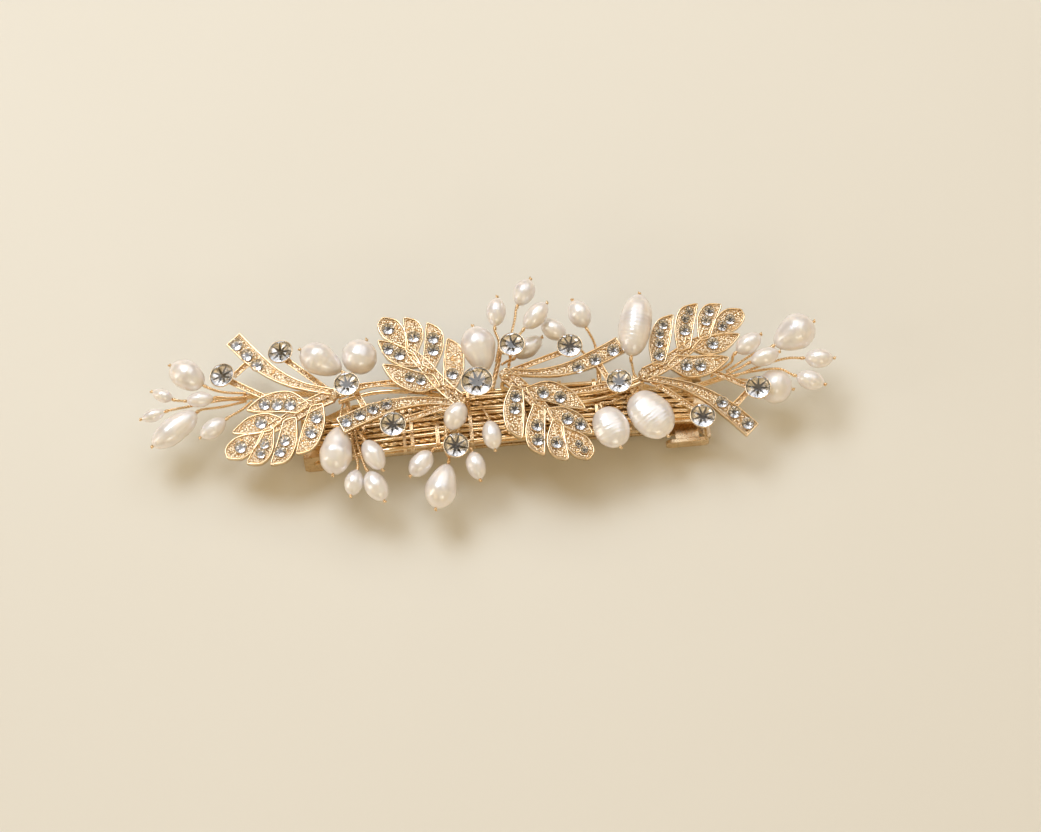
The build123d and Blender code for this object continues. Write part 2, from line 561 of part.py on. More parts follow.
forms = {  # share of the length, share of the largest radius
    "rice": [(0.06, 0.45), (0.2, 0.78), (0.5, 1.0), (0.8, 0.78), (0.94, 0.45)],
    "round": [(0.05, 0.45), (0.2, 0.80), (0.5, 1.0), (0.8, 0.80), (0.95, 0.45)],
    "egg": [(0.05, 0.34), (0.2, 0.66), (0.45, 0.93), (0.62, 1.0), (0.82, 0.82), (0.95, 0.47)],
    "long": [(0.05, 0.44), (0.18, 0.76), (0.4, 0.97), (0.6, 1.0), (0.8, 0.80), (0.95, 0.44)],
    "ridged": [(0.04, 0.40), (0.15, 0.72), (0.35, 0.96), (0.6, 1.0), (0.82, 0.80), (0.96, 0.40)],
    "button": [(0.05, 0.48), (0.2, 0.82), (0.45, 1.0), (0.6, 1.0), (0.8, 0.84), (0.95, 0.48)],
}
button_flat = 0.64   # thickness over width of the two flattened pearls

for name, (base, tip, r, form) in pearls.items():
    b, t = Vector(*base), Vector(*tip)
    length = (t - b).length
    along = (t - b).normalized()
    profile = [(bore_r, 0)] + [(share_r * r, share * length) for share, share_r in forms[form]] + [(bore_r, length)]
    if form == "button":
        # made on its own axis, flattened, then laid flat with its drill hole along the route
        with BuildPart() as blank:
            with BuildSketch(Plane.XZ):
                with BuildLine():
                    Line((0, 0), (bore_r + 0.25, 0))
                    Spline((bore_r + 0.25, 0), *profile[1:-1], (bore_r + 0.25, length))
                    Polyline((bore_r + 0.25, length), (0, length), (0, 0))
                make_face()
            revolve(axis=Axis.Z)
            scale(by=(1, button_flat, 1))
            with Locations((0, 0, length / 2)):
                Cylinder(bore_r, 2 * length, mode=Mode.SUBTRACT)
        flat_x = along.cross(Vector(0, 0, 1)).normalized()
        with BuildPart() as pearl:
            add(Plane(origin=b, x_dir=flat_x, z_dir=along).location * blank.part)
    else:
        with BuildPart() as pearl:
            with BuildSketch(axial(b, along)):
                with BuildLine():
                    Spline(*profile)
                    Line((bore_r, length), (bore_r, 0))
                make_face()
            revolve(axis=Axis(b, along))
    save(pearl.part, name)

# ---------------------------------------------------------------------------
# pearl wires: a twisted trunk on the backbone and one branch to each pearl,
# which runs through the drill hole and ends in a small knot
# ---------------------------------------------------------------------------
sprays = {
    "wires_left": [
        ("trunk", 0.5, [(-25.11, 3.42, 7.95), (-31.39, 4.63, 7.8), (-36.41, 4.78, 7.7), (-40.03, 4.64, 8.4)]),
        ("rice_left_2", 0.24, [(-39.56, 4.31, 9.0), (-42.26, 4.02, 9.9)]),
        ("rice_left_1", 0.24, [(-39.85, 4.82, 7.61), (-44.88, 4.69, 8.3), (-49.02, 4.72, 8.5)]),
        ("pearl_left_round", 0.24, [(-39.59, 5.02, 8.99), (-43.51, 5.1, 10.2)]),
        ("rice_left_3", 0.24, [(-39.62, 3.96, 8.63), (-43.2, 4.1, 9.05), (-49.9, 3.65, 8.5)]),
        ("pearl_left_long", 0.24, [(-39.7, 3.91, 8.18), (-43.75, 3.0, 8.8)]),
        ("rice_left_4", 0.24, [(-38.67, 3.93, 8.19), (-40.31, 2.4, 8.6)]),
    ],
    "wires_upleft": [
        ("trunk", 0.4, [(-22.12, 2.76, 8.4), (-22.67, 4.05, 8.9)]),
        ("pearl_upleft_outer", 0.24, [(-22.41, 3.77, 9.46), (-23.01, 5.29, 10.3)]),
        ("pearl_upleft_inner", 0.24, [(-22.04, 4.05, 9.15), (-22.23, 4.98, 9.6)]),
    ],
    "wires_frontleft": [
        ("trunk", 0.45, [(-22.99, 2.33, 8.3), (-22.56, -1.46, 9.0)]),
        ("pearl_frontleft_drop", 0.24, [(-23.54, 2.11, 8.76), (-24.11, -0.61, 9.9)]),
        ("rice_frontleft_1", 0.24, [(-22.86, -1.2, 8.28), (-22.44, -6.35, 8.6)]),
        ("rice_frontleft_2", 0.24, [(-22.33, -1.14, 8.28), (-21.61, -6.51, 8.8)]),
        ("rice_frontleft_3", 0.24, [(-22.13, -0.91, 9.43), (-21.51, -3.91, 10.3)]),
    ],
    "wires_front": [
        ("trunk", 0.42, [(-6.95, -4.09, 10.0), (-7.13, -7.97, 9.87), (-7.07, -9.19, 8.9)]),
        ("rice_front_2", 0.24, [(-7.8, -7.88, 9.99), (-8.08, -8.23, 10.02), (-8.31, -8.27, 10.0)]),
        ("pearl_front_drop", 0.24, [(-7.02, -9.25, 9.71), (-6.97, -10.04, 9.2)]),
        ("rice_front_3", 0.24, [(-6.47, -8.6, 8.95), (-4.53, -8.7, 8.7)]),
        ("rice_front_1", 0.24, [(-2.6, 0.09, 10.29), (-3.12, -0.36, 10.8)]),
        ("rice_front_4", 0.24, [(-1.02, -1.01, 9.95), (-0.21, -3.21, 11.1)]),
    ],
    "wires_back": [
        ("trunk", 0.42, [(1.2, 1.41, 10.17), (2.37, 5.03, 10.4), (3.12, 7.67, 10.9)]),
        ("pearl_back_drop", 0.24, [(1.06, 2.83, 10.63), (0.68, 2.96, 10.9)]),
        ("rice_back_1", 0.24, [(2.32, 5.82, 11.18), (3.05, 8.9, 12.1)]),
        ("rice_back_2", 0.24, [(3.65, 7.4, 10.53), (5.0, 9.93, 11.2), (6.11, 12.68, 13.0)]),
        ("rice_back_3", 0.24, [(3.69, 7.29, 11.05), (5.62, 9.36, 11.1)]),
        ("rice_back_4", 0.24, [(3.15, 5.6, 10.21), (4.33, 6.35, 9.9)]),
        ("trunk2", 0.4, [(19.14, 0.12, 9.64), (19.25, 4.47, 9.7)]),
        ("rice_back_6", 0.24, [(19.0, 4.29, 10.31), (19.05, 7.6, 10.45)]),
        ("rice_back_5", 0.24, [(18.59, 4.31, 9.76), (16.52, 7.36, 10.0)]),
    ],
    "wires_midright": [
        ("trunk", 0.45, [(23.57, -2.35, 9.32), (25.23, -0.82, 9.2), (25.2, 0.84, 9.16), (25.19, 2.03, 8.95)]),
        ("pearl_ridged", 0.24, [(25.05, 1.83, 9.69), (24.82, 3.6, 10.5)]),
        ("pearl_right_button", 0.24, [(23.46, -1.7, 9.75), (20.77, -3.0, 10.6)]),
        ("pearl_right_large", 0.24, [(24.89, -0.65, 9.82), (24.5, -1.3, 10.6)]),
    ],
    "wires_right": [
        ("trunk", 0.5, [(30.44, -1.05, 8.59), (35.86, -0.51, 8.7), (41.05, 0.74, 8.9)]),
        ("rice_right_1", 0.24, [(37.75, 0.7, 8.96), (41.35, 2.75, 9.4)]),
        ("rice_right_2", 0.24, [(40.62, 0.75, 9.64), (42.68, 1.2, 10.4)]),
        ("pearl_right_round", 0.24, [(40.5, 1.39, 8.95), (46.02, 4.32, 9.3)]),
        ("rice_right_3", 0.24, [(40.84, -0.06, 9.1), (46.2, 1.77, 9.2), (50.88, 2.25, 10.4)]),
        ("rice_right_4", 0.24, [(40.75, 0.24, 9.52), (45.11, 0.46, 10.3), (49.24, 0.21, 10.8)]),
        ("pearl_right_low", 0.24, [(40.85, -0.02, 8.57), (43.48, -0.23, 8.5)]),
    ],
}


for spray_name, wires in sprays.items():
    solids = []
    for target, r, route in wires:
        route = [Vector(*p) for p in route]
        if target in pearls:
            b, t = Vector(*pearls[target][0]), Vector(*pearls[target][1])
            along = (t - b).normalized()
            route += [b - along * 0.7, t + along * 0.1]
            with BuildPart() as knot:
                with Locations(t + along * (0.11 + knot_r)):
                    Sphere(knot_r)
            solids.append(knot.part.solid())
        with BuildPart() as wire:
            with BuildLine() as wire_line:
                if len(route) == 2:
                    Line(*route)
                else:
                    FilletPolyline(*route, radius=bend_radii(route))
            with BuildSketch(Plane(origin=wire_line.line @ 0, z_dir=wire_line.line % 0)):
                Circle(r)
            sweep(path=wire_line.line)
        solids.append(wire.part.solid())
    spray = Compound(solids)
    print(spray_name, "solids", len(spray.solids()), "volume", round(sum(s.volume for s in solids), 2))
    save(spray, spray_name)
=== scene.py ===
import bpy, bmesh, math
import numpy as np
from mathutils import Vector, Matrix
from mathutils.geometry import tessellate_polygon


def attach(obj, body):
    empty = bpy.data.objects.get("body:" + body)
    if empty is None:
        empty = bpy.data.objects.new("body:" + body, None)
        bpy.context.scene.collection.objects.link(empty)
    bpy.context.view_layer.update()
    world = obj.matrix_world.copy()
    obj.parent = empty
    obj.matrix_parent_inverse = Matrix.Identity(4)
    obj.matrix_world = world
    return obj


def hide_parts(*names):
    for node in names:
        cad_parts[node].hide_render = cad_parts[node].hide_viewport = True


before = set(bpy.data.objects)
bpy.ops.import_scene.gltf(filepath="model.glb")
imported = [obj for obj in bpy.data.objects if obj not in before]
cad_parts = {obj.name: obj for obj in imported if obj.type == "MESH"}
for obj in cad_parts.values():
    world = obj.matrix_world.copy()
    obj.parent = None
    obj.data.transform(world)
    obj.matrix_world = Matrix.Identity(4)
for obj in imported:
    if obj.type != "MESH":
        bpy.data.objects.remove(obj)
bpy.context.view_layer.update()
MM = 0.001


# ---------------------------------------------------------------------------
# numbers shared with the CAD, in millimetres
# ---------------------------------------------------------------------------
clip_y = -2.85
plate_mid_x, plate_radius, plate_top, plate_thick = 4.5, 200.0, 8.9, 0.8
arc_z = plate_top - plate_radius
backbone_r, backbone_pitch = 0.4, 0.945
binding_x = (-20.6, -14.0, -12.7, -8.5, -2.9, 6.2, 12.4, 18.2)
cup_r, stone_r, tail_r = 2.13, 2.02, 0.38


def arch(x, drop=0.0):
    return arc_z + math.sqrt((plate_radius - drop) ** 2 - (x - plate_mid_x) ** 2)


leaflets = [  # outer edge from base to tip, inner edge from tip to base
    ([(2.1, 1.0), (2.75, 4.7), (5.2, 8.0), (7.9, 8.4)], [(7.9, 8.4), (5.95, 4.3), (3.9, 0.9)]),
    ([(6.9, 2.2), (7.85, 6.5), (9.7, 8.95), (12.4, 9.15)], [(12.4, 9.15), (10.5, 5.6), (8.8, 2.2)]),
    ([(10.9, 3.0), (12.1, 7.0), (14.0, 8.4), (16.25, 7.9)], [(16.25, 7.9), (14.0, 5.05), (12.5, 2.9)]),
    ([(12.6, 3.3), (14.9, 5.75), (17.0, 6.7), (19.2, 6.1)], [(19.2, 6.1), (19.2, 4.7), (17.4, 3.3), (15.2, 3.1), (12.6, 3.3)]),
    ([(9.2, 1.8), (11.2, 0.45), (14.3, 0.2), (17.6, 2.0)], [(17.6, 2.0), (14.6, 2.95), (11.4, 3.1)]),
    ([(4.4, 0.2), (7.0, -2.5), (11.0, -2.9), (14.5, -1.4)], [(14.5, -1.4), (12.3, -0.45), (8.4, 0.5), (6.4, 1.3)]),
]
vein = [(-0.6, -0.3), (0.0, 0.9), (2.3, 1.3), (5.2, 2.1), (8.2, 3.1), (11.4, 3.7), (13.4, 3.8), (13.4, 3.3),
        (11.6, 2.2), (8.8, 1.2), (5.9, 0.0), (2.8, -0.9), (0.2, -1.3)]
ribbon_upper = [(-0.6, 0.1), (4.3, -2.15), (8.5, -4.75), (12.6, -8.9), (15.72, -13.78)]
ribbon_lower = [(13.07, -15.32), (10.4, -10.8), (7.75, -6.95), (4.4, -3.85), (-0.5, -1.2)]
cup_stems = [
    [(0.4, -1.6), (6.2, -8.9), (6.8, -8.3), (1.1, -1.2)],
    [(10.2, -2.5), (16.2, -7.7), (16.9, -7.1), (11.2, -2.4)],
    [(12.4, -9.3), (15.4, -7.6), (15.9, -8.2), (12.9, -10.1)],
]
cups_local = [((7.07, -9.94), 0.8), ((17.32, -8.01), 1.6)]
castings = {
    "casting_left_outer": dict(at=(-25.08, 2.40, 10.4), yaw=187.4, pitch=-5.8, roll=-0.8, hand=1, lean=((-0.20, 0.10), (-0.26, 0.06))),
    "casting_left_inner": dict(at=(-4.07, -0.97, 12.1), yaw=143.2, pitch=-1.6, roll=3.2, hand=-1, lean=((-0.02, -0.04), (-0.06, 0.05))),
    "casting_right_inner": dict(at=(3.29, 2.75, 12.1), yaw=-33.7, pitch=-2.9, roll=-0.6, hand=-1, lean=((-0.03, 0.06), (-0.08, 0.04))),
    "casting_right_outer": dict(at=(26.46, 1.35, 11.2), yaw=12.1, pitch=-1.9, roll=5.5, hand=1, lean=((0.02, 0.0), (-0.05, 0.05))),
}
pave = {
    "casting_left_outer": [(3.52, 3.01), (4.88, 5.41), (9.43, 5.64), (10.54, 7.31), (12.85, 5.33), (13.75, 6.85), (16.79, 4.89),
                           (12.68, 1.55), (11.48, -1.55), (9.45, -0.95), (7.35, -0.36), (14.0, -13.3), (12.65, -10.95), (11.35, -8.75)],
    "casting_left_inner": [(3.75, 3.2), (8.83, 5.3), (10.07, 7.19), (12.94, 5.72), (17.4, 4.75), (13.2, 1.65), (15.4, 1.5),
                           (9.4, -1.02), (7.6, -0.5), (14.0, -13.4), (12.75, -11.2), (11.5, -9.1), (10.05, -7.25)],
    "casting_right_inner": [(3.55, 2.4), (4.45, 4.4), (9.07, 5.2), (10.41, 7.4), (13.32, 6.3), (16.6, 4.75), (17.9, 5.2),
                            (12.9, 1.7), (15.2, 1.5), (7.18, -0.4), (10.0, -1.1), (10.1, -7.3), (11.95, -9.9), (13.75, -12.9)],
    "casting_right_outer": [(3.5, 2.3), (4.15, 4.3), (4.75, 5.85), (5.8, 7.25), (9.0, 5.3), (9.7, 7.2), (10.75, 8.25), (12.95, 5.9),
                            (14.0, 7.35), (16.9, 5.0), (15.25, 4.25), (12.75, 1.75), (7.3, -0.7), (9.55, -1.35), (11.0, -8.45), (12.4, -10.75),
                            (13.9, -13.2)],
}
tails = {
    "casting_left_outer": [[(-24.39, 2.61, 9.45), (-18.61, 4.14, 9.7), (-12.33, 3.18, 10.2), (-6.48, 1.6, 10.5)],
                           [(-24.42, 1.75, 9.40), (-18.21, 2.9, 9.5), (-10.76, 2.0, 10.05), (-6.9, 0.74, 10.4)]],
    "casting_right_outer": [[(26.6, 1.25, 10.3), (20.35, -0.6, 10.05), (14.8, -1.0, 10.3), (6.08, 0.05, 10.55)],
                            [(26.4, 0.35, 10.28), (20.31, -1.7, 10.05), (14.87, -2.3, 10.2), (7.5, -1.7, 10.35)]],
    "casting_left_inner": [[(-4.3, -0.6, 11.15), (-3.9, -1.4, 10.6), (-5.6, -2.3, 10.3), (-9.2, -3.1, 10.25)]],
    "casting_right_inner": [[(3.3, 2.4, 11.15), (2.9, 1.4, 10.7), (4.2, 0.6, 10.45), (4.9, -0.9, 10.4)]],
}
pearls = {
    "pearl_left_round": ((-46.5, 6.22, 11.2), (-51.57, 9.9, 11.8), 2.48, "round"),
    "pearl_left_long": ((-48.07, 2.11, 9.3), (-55.51, -2.85, 8.6), 2.24, "long"),
    "rice_left_1": ((-51.8, 4.44, 10.6), (-54.86, 5.91, 10.8), 1.16, "rice"),
    "rice_left_2": ((-45.03, 3.92, 10.74), (-49.33, 3.7, 10.94), 1.32, "rice"),
    "rice_left_3": ((-53.28, 2.48, 10.0), (-56.99, 1.66, 9.8), 1.08, "rice"),
    "rice_left_4": ((-43.34, 0.35, 9.4), (-47.49, -2.16, 9.0), 1.58, "rice"),
    "pearl_upleft_outer": ((-23.51, 6.32, 11.8), (-29.85, 10.4, 12.6), 2.72, "egg"),
    "pearl_upleft_inner": ((-21.57, 6.03, 11.2), (-18.97, 11.11, 12.4), 3.05, "round"),
    "pearl_frontleft_drop": ((-24.42, -3.26, 10.7), (-26.17, -11.29, 10.2), 2.81, "egg"),
    "rice_frontleft_1": ((-22.22, -10.55, 9.2), (-23.53, -14.71, 8.8), 1.58, "rice"),
    "rice_frontleft_2": ((-20.43, -11.24, 9.6), (-18.2, -16.18, 9.0), 1.91, "rice"),
    "rice_frontleft_3": ((-20.49, -6.23, 10.9), (-18.09, -11.21, 10.3), 1.82, "rice"),
    "rice_front_1": ((-3.95, -2.28, 13.99), (-6.6, -6.13, 12.6), 1.9, "rice"),
    "rice_front_2": ((-9.83, -8.76, 9.8), (-13.44, -12.28, 9.2), 1.82, "rice"),
    "pearl_front_drop": ((-7.21, -10.99, 9.4), (-9.82, -18.08, 8.2), 2.74, "egg"),
    "rice_front_3": ((-3.1, -9.4, 9.8), (-2.21, -14.14, 9.4), 1.66, "rice"),
    "rice_front_4": ((0.14, -4.9, 11.6), (0.68, -9.8, 11.2), 1.65, "rice"),
    "pearl_back_drop": ((0.28, 3.96, 11.6), (-1.01, 11.79, 12.8), 2.89, "egg"),
    "rice_back_1": ((2.64, 11.35, 13.4), (3.41, 16.08, 14.2), 1.64, "rice"),
    "rice_back_2": ((6.8, 14.65, 13.8), (9.19, 18.68, 14.6), 1.81, "rice"),
    "rice_back_3": ((7.54, 10.21, 14.15), (11.41, 13.81, 15.15), 1.73, "rice"),
    "rice_back_4": ((5.72, 6.91, 10.0), (10.19, 9.71, 10.6), 1.66, "rice"),
    "rice_back_5": ((14.18, 9.26, 11.19), (10.56, 11.87, 12.29), 1.73, "rice"),
    "rice_back_6": ((17.75, 10.01, 12.8), (16.01, 14.51, 13.8), 1.89, "rice"),
    "pearl_ridged": ((24.68, 3.95, 13.06), (27.16, 14.65, 13.72), 2.8, "ridged"),
    "pearl_right_button": ((18.95, -4.45, 11.78), (21.23, -11.32, 11.37), 3.0, "button"),
    "pearl_right_large": ((24.52, -2.22, 11.2), (29.22, -9.9, 10.9), 3.45, "button"),
    "rice_right_1": ((42.32, 3.35, 12.2), (46.44, 5.81, 12.8), 1.65, "rice"),
    "rice_right_2": ((44.5, 1.55, 11.68), (49.16, 2.72, 12.17), 1.57, "rice"),
    "pearl_right_round": ((48.83, 4.2, 11.8), (55.55, 7.34, 12.8), 3.05, "egg"),
    "rice_right_3": ((53.59, 1.63, 11.2), (58.2, 1.11, 11.4), 1.65, "rice"),
    "rice_right_4": ((51.91, -1.23, 10.6), (56.22, -3.01, 10.4), 1.65, "rice"),
    "pearl_right_low": ((45.77, -0.87, 8.2), (51.15, -2.39, 8.0), 2.99, "round"),
}
sprays = {
    "wires_left": [
        ("trunk", 0.5, [(-25.11, 3.42, 7.95), (-31.39, 4.63, 7.8), (-36.41, 4.78, 7.7), (-40.03, 4.64, 8.4)]),
        ("rice_left_2", 0.24, [(-39.56, 4.31, 9.0), (-42.26, 4.02, 9.9)]),
        ("rice_left_1", 0.24, [(-39.85, 4.82, 7.61), (-44.88, 4.69, 8.3), (-49.02, 4.72, 8.5)]),
        ("pearl_left_round", 0.24, [(-39.59, 5.02, 8.99), (-43.51, 5.1, 10.2)]),
        ("rice_left_3", 0.24, [(-39.62, 3.96, 8.63), (-43.2, 4.1, 9.05), (-49.9, 3.65, 8.5)]),
        ("pearl_left_long", 0.24, [(-39.7, 3.91, 8.18), (-43.75, 3.0, 8.8)]),
        ("rice_left_4", 0.24, [(-38.67, 3.93, 8.19), (-40.31, 2.4, 8.6)]),
    ],
    "wires_upleft": [
        ("trunk", 0.4, [(-22.12, 2.76, 8.4), (-22.67, 4.05, 8.9)]),
        ("pearl_upleft_outer", 0.24, [(-22.41, 3.77, 9.46), (-23.01, 5.29, 10.3)]),
        ("pearl_upleft_inner", 0.24, [(-22.04, 4.05, 9.15), (-22.23, 4.98, 9.6)]),
    ],
    "wires_frontleft": [
        ("trunk", 0.45, [(-22.99, 2.33, 8.3), (-22.56, -1.46, 9.0)]),
        ("pearl_frontleft_drop", 0.24, [(-23.54, 2.11, 8.76), (-24.11, -0.61, 9.9)]),
        ("rice_frontleft_1", 0.24, [(-22.86, -1.2, 8.28), (-22.44, -6.35, 8.6)]),
        ("rice_frontleft_2", 0.24, [(-22.33, -1.14, 8.28), (-21.61, -6.51, 8.8)]),
        ("rice_frontleft_3", 0.24, [(-22.13, -0.91, 9.43), (-21.51, -3.91, 10.3)]),
    ],
    "wires_front": [
        ("trunk", 0.42, [(-6.95, -4.09, 10.0), (-7.13, -7.97, 9.87), (-7.07, -9.19, 8.9)]),
        ("rice_front_2", 0.24, [(-7.8, -7.88, 9.99), (-8.08, -8.23, 10.02), (-8.31, -8.27, 10.0)]),
        ("pearl_front_drop", 0.24, [(-7.02, -9.25, 9.71), (-6.97, -10.04, 9.2)]),
        ("rice_front_3", 0.24, [(-6.47, -8.6, 8.95), (-4.53, -8.7, 8.7)]),
        ("rice_front_1", 0.24, [(-2.6, 0.09, 10.29), (-3.12, -0.36, 10.8)]),
        ("rice_front_4", 0.24, [(-1.02, -1.01, 9.95), (-0.21, -3.21, 11.1)]),
    ],
    "wires_back": [
        ("trunk", 0.42, [(1.2, 1.41, 10.17), (2.37, 5.03, 10.4), (3.12, 7.67, 10.9)]),
        ("pearl_back_drop", 0.24, [(1.06, 2.83, 10.63), (0.68, 2.96, 10.9)]),
        ("rice_back_1", 0.24, [(2.32, 5.82, 11.18), (3.05, 8.9, 12.1)]),
        ("rice_back_2", 0.24, [(3.65, 7.4, 10.53), (5.0, 9.93, 11.2), (6.11, 12.68, 13.0)]),
        ("rice_back_3", 0.24, [(3.69, 7.29, 11.05), (5.62, 9.36, 11.1)]),
        ("rice_back_4", 0.24, [(3.15, 5.6, 10.21), (4.33, 6.35, 9.9)]),
        ("trunk2", 0.4, [(19.14, 0.12, 9.64), (19.25, 4.47, 9.7)]),
        ("rice_back_6", 0.24, [(19.0, 4.29, 10.31), (19.05, 7.6, 10.45)]),
        ("rice_back_5", 0.24, [(18.59, 4.31, 9.76), (16.52, 7.36, 10.0)]),
    ],
    "wires_midright": [
        ("trunk", 0.45, [(23.57, -2.35, 9.32), (25.23, -0.82, 9.2), (25.2, 0.84, 9.16), (25.19, 2.03, 8.95)]),
        ("pearl_ridged", 0.24, [(25.05, 1.83, 9.69), (24.82, 3.6, 10.5)]),
        ("pearl_right_button", 0.24, [(23.46, -1.7, 9.75), (20.77, -3.0, 10.6)]),
        ("pearl_right_large", 0.24, [(24.89, -0.65, 9.82), (24.5, -1.3, 10.6)]),
    ],
    "wires_right": [
        ("trunk", 0.5, [(30.44, -1.05, 8.59), (35.86, -0.51, 8.7), (41.05, 0.74, 8.9)]),
        ("rice_right_1", 0.24, [(37.75, 0.7, 8.96), (41.35, 2.75, 9.4)]),
        ("rice_right_2", 0.24, [(40.62, 0.75, 9.64), (42.68, 1.2, 10.4)]),
        ("pearl_right_round", 0.24, [(40.5, 1.39, 8.95), (46.02, 4.32, 9.3)]),
        ("rice_right_3", 0.24, [(40.84, -0.06, 9.1), (46.2, 1.77, 9.2), (50.88, 2.25, 10.4)]),
        ("rice_right_4", 0.24, [(40.75, 0.24, 9.52), (45.11, 0.46, 10.3), (49.24, 0.21, 10.8)]),
        ("pearl_right_low", 0.24, [(40.85, -0.02, 8.57), (43.48, -0.23, 8.5)]),
    ],
}

# ---------------------------------------------------------------------------
# mesh helpers
# ---------------------------------------------------------------------------
class Build:
    """Collects vertices and faces in millimetres and makes one object of them."""

    def __init__(self):
        self.v, self.f, self.mi, self.sm, self.n = [], [], [], [], 0

    def add(self, verts, faces, mat=0, smooth=True):
        verts = np.asarray(verts, float).reshape(-1, 3)
        self.v.append(verts)
        self.f += [[i + self.n for i in f] for f in faces]
        self.mi += [mat] * len(faces)
        self.sm += [smooth] * len(faces)
        self.n += len(verts)

    def make(self, name, mats, replaces, body="ornament"):
        mesh = bpy.data.meshes.new(name)
        mesh.from_pydata((np.vstack(self.v) * MM).tolist(), [], self.f)
        for m in mats:
            mesh.materials.append(m)
        mesh.polygons.foreach_set("material_index", self.mi)
        mesh.polygons.foreach_set("use_smooth", self.sm)
        bm = bmesh.new()
        bm.from_mesh(mesh)
        bmesh.ops.recalc_face_normals(bm, faces=bm.faces)
        bm.to_mesh(mesh)
        bm.free()
        obj = bpy.data.objects.new(name, mesh)
        bpy.context.scene.collection.objects.link(obj)
        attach(obj, body)
        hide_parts(*replaces)
        return obj


def unit(v):
    v = np.asarray(v, float)
    return v / (np.linalg.norm(v) + 1e-12)


def curve_through(points, step=0.3, closed=False):
    """A smooth line through the points, in 2D or 3D (centripetal Catmull-Rom)."""
    p = [np.asarray(q, float) for q in points]
    if len(p) == 2:
        n = max(2, int(np.linalg.norm(p[1] - p[0]) / step) + 1)
        return np.array([p[0] + (p[1] - p[0]) * t for t in np.linspace(0, 1, n)])
    if closed:
        p = [p[-1]] + p + [p[0], p[1]]
    else:
        p = [2 * p[0] - p[1]] + p + [2 * p[-1] - p[-2]]
    out = []
    for a, b, c, d in zip(p, p[1:], p[2:], p[3:]):
        t0, t1 = 0.0, np.linalg.norm(b - a) ** 0.5 + 1e-9
        t2 = t1 + np.linalg.norm(c - b) ** 0.5 + 1e-9
        t3 = t2 + np.linalg.norm(d - c) ** 0.5 + 1e-9
        n = max(2, int(np.linalg.norm(c - b) / step) + 1)
        for t in np.linspace(t1, t2, n, endpoint=False):
            a1 = (t1 - t) / (t1 - t0) * a + (t - t0) / (t1 - t0) * b
            a2 = (t2 - t) / (t2 - t1) * b + (t - t1) / (t2 - t1) * c
            a3 = (t3 - t) / (t3 - t2) * c + (t - t2) / (t3 - t2) * d
            b1 = (t2 - t) / (t2 - t0) * a1 + (t - t0) / (t2 - t0) * a2
            b2 = (t3 - t) / (t3 - t1) * a2 + (t - t1) / (t3 - t1) * a3
            out.append((t2 - t) / (t2 - t1) * b1 + (t - t1) / (t2 - t1) * b2)
    if not closed:
        out.append(p[-2])
    return np.array(out)


def frames(P, closed=False, up=None):
    P = np.asarray(P, float)
    T = np.roll(P, -1, 0) - np.roll(P, 1, 0) if closed else np.gradient(P, axis=0)
    T = T / (np.linalg.norm(T, axis=1)[:, None] + 1e-12)
    if up is not None:
        N = np.cross(np.asarray(up, float)[None, :], T)
        N = N / (np.linalg.norm(N, axis=1)[:, None] + 1e-12)
        return T, N, np.cross(T, N)
    N = np.zeros_like(P)
    a = np.array([0, 0, 1.0]) if abs(T[0][2]) < 0.9 else np.array([1.0, 0, 0])
    N[0] = unit(np.cross(T[0], a))
    for i in range(1, len(P)):
        N[i] = unit(N[i - 1] - T[i] * np.dot(N[i - 1], T[i]))
    return T, N, np.cross(T, N)


def tube(b, P, r, sides=8, mat=0, closed=False, up=None, flat=1.0):
    """Round or oval tube along P; flat is the height over the width."""
    P = np.asarray(P, float)
    T, N, B = frames(P, closed, up)
    n = len(P)
    r = np.full(n, r) if np.isscalar(r) else np.asarray(r)
    ang = np.linspace(0, 2 * np.pi, sides, endpoint=False)
    V = (P[:, None] + N[:, None] * (np.cos(ang)[None, :, None] * r[:, None, None])
         + B[:, None] * (np.sin(ang)[None, :, None] * r[:, None, None] * flat))
    F = []
    for i in range(n if closed else n - 1):
        j = (i + 1) % n
        for k in range(sides):
            m = (k + 1) % sides
            F.append([i * sides + k, i * sides + m, j * sides + m, j * sides + k])
    if not closed:
        F.append([k for k in range(sides)][::-1])
        F.append([(n - 1) * sides + k for k in range(sides)])
    b.add(V.reshape(-1, 3), F, mat)


def ball(b, c, r, mat=0, seg=10, rings=6, squash=1.0, up=(0, 0, 1)):
    c, w = np.asarray(c, float), unit(up)
    u = unit(np.cross(w, [1, 0, 0.01]) if abs(w[0]) < 0.9 else np.cross(w, [0, 1, 0.01]))
    v = np.cross(w, u)
    V = [c + w * r * squash]
    for i in range(1, rings):
        th = math.pi * i / rings
        for k in range(seg):
            ph = 2 * math.pi * k / seg
            V.append(c + (u * math.cos(ph) + v * math.sin(ph)) * r * math.sin(th) + w * r * squash * math.cos(th))
    V.append(c - w * r * squash)
    F = [[0, 1 + k, 1 + (k + 1) % seg] for k in range(seg)]
    for i in range(rings - 2):
        for k in range(seg):
            F.append([1 + i * seg + k, 1 + (i + 1) * seg + k, 1 + (i + 1) * seg + (k + 1) % seg, 1 + i * seg + (k + 1) % seg])
    last = len(V) - 1
    F += [[last, 1 + (rings - 2) * seg + (k + 1) % seg, 1 + (rings - 2) * seg + k] for k in range(seg)]
    b.add(V, F, mat)


def axes_of(direction):
    w = unit(direction)
    u = unit(np.cross([0, 1, 0], w)) if abs(w[1]) < 0.9 else unit(np.cross([1, 0, 0], w))
    return u, np.cross(w, u), w


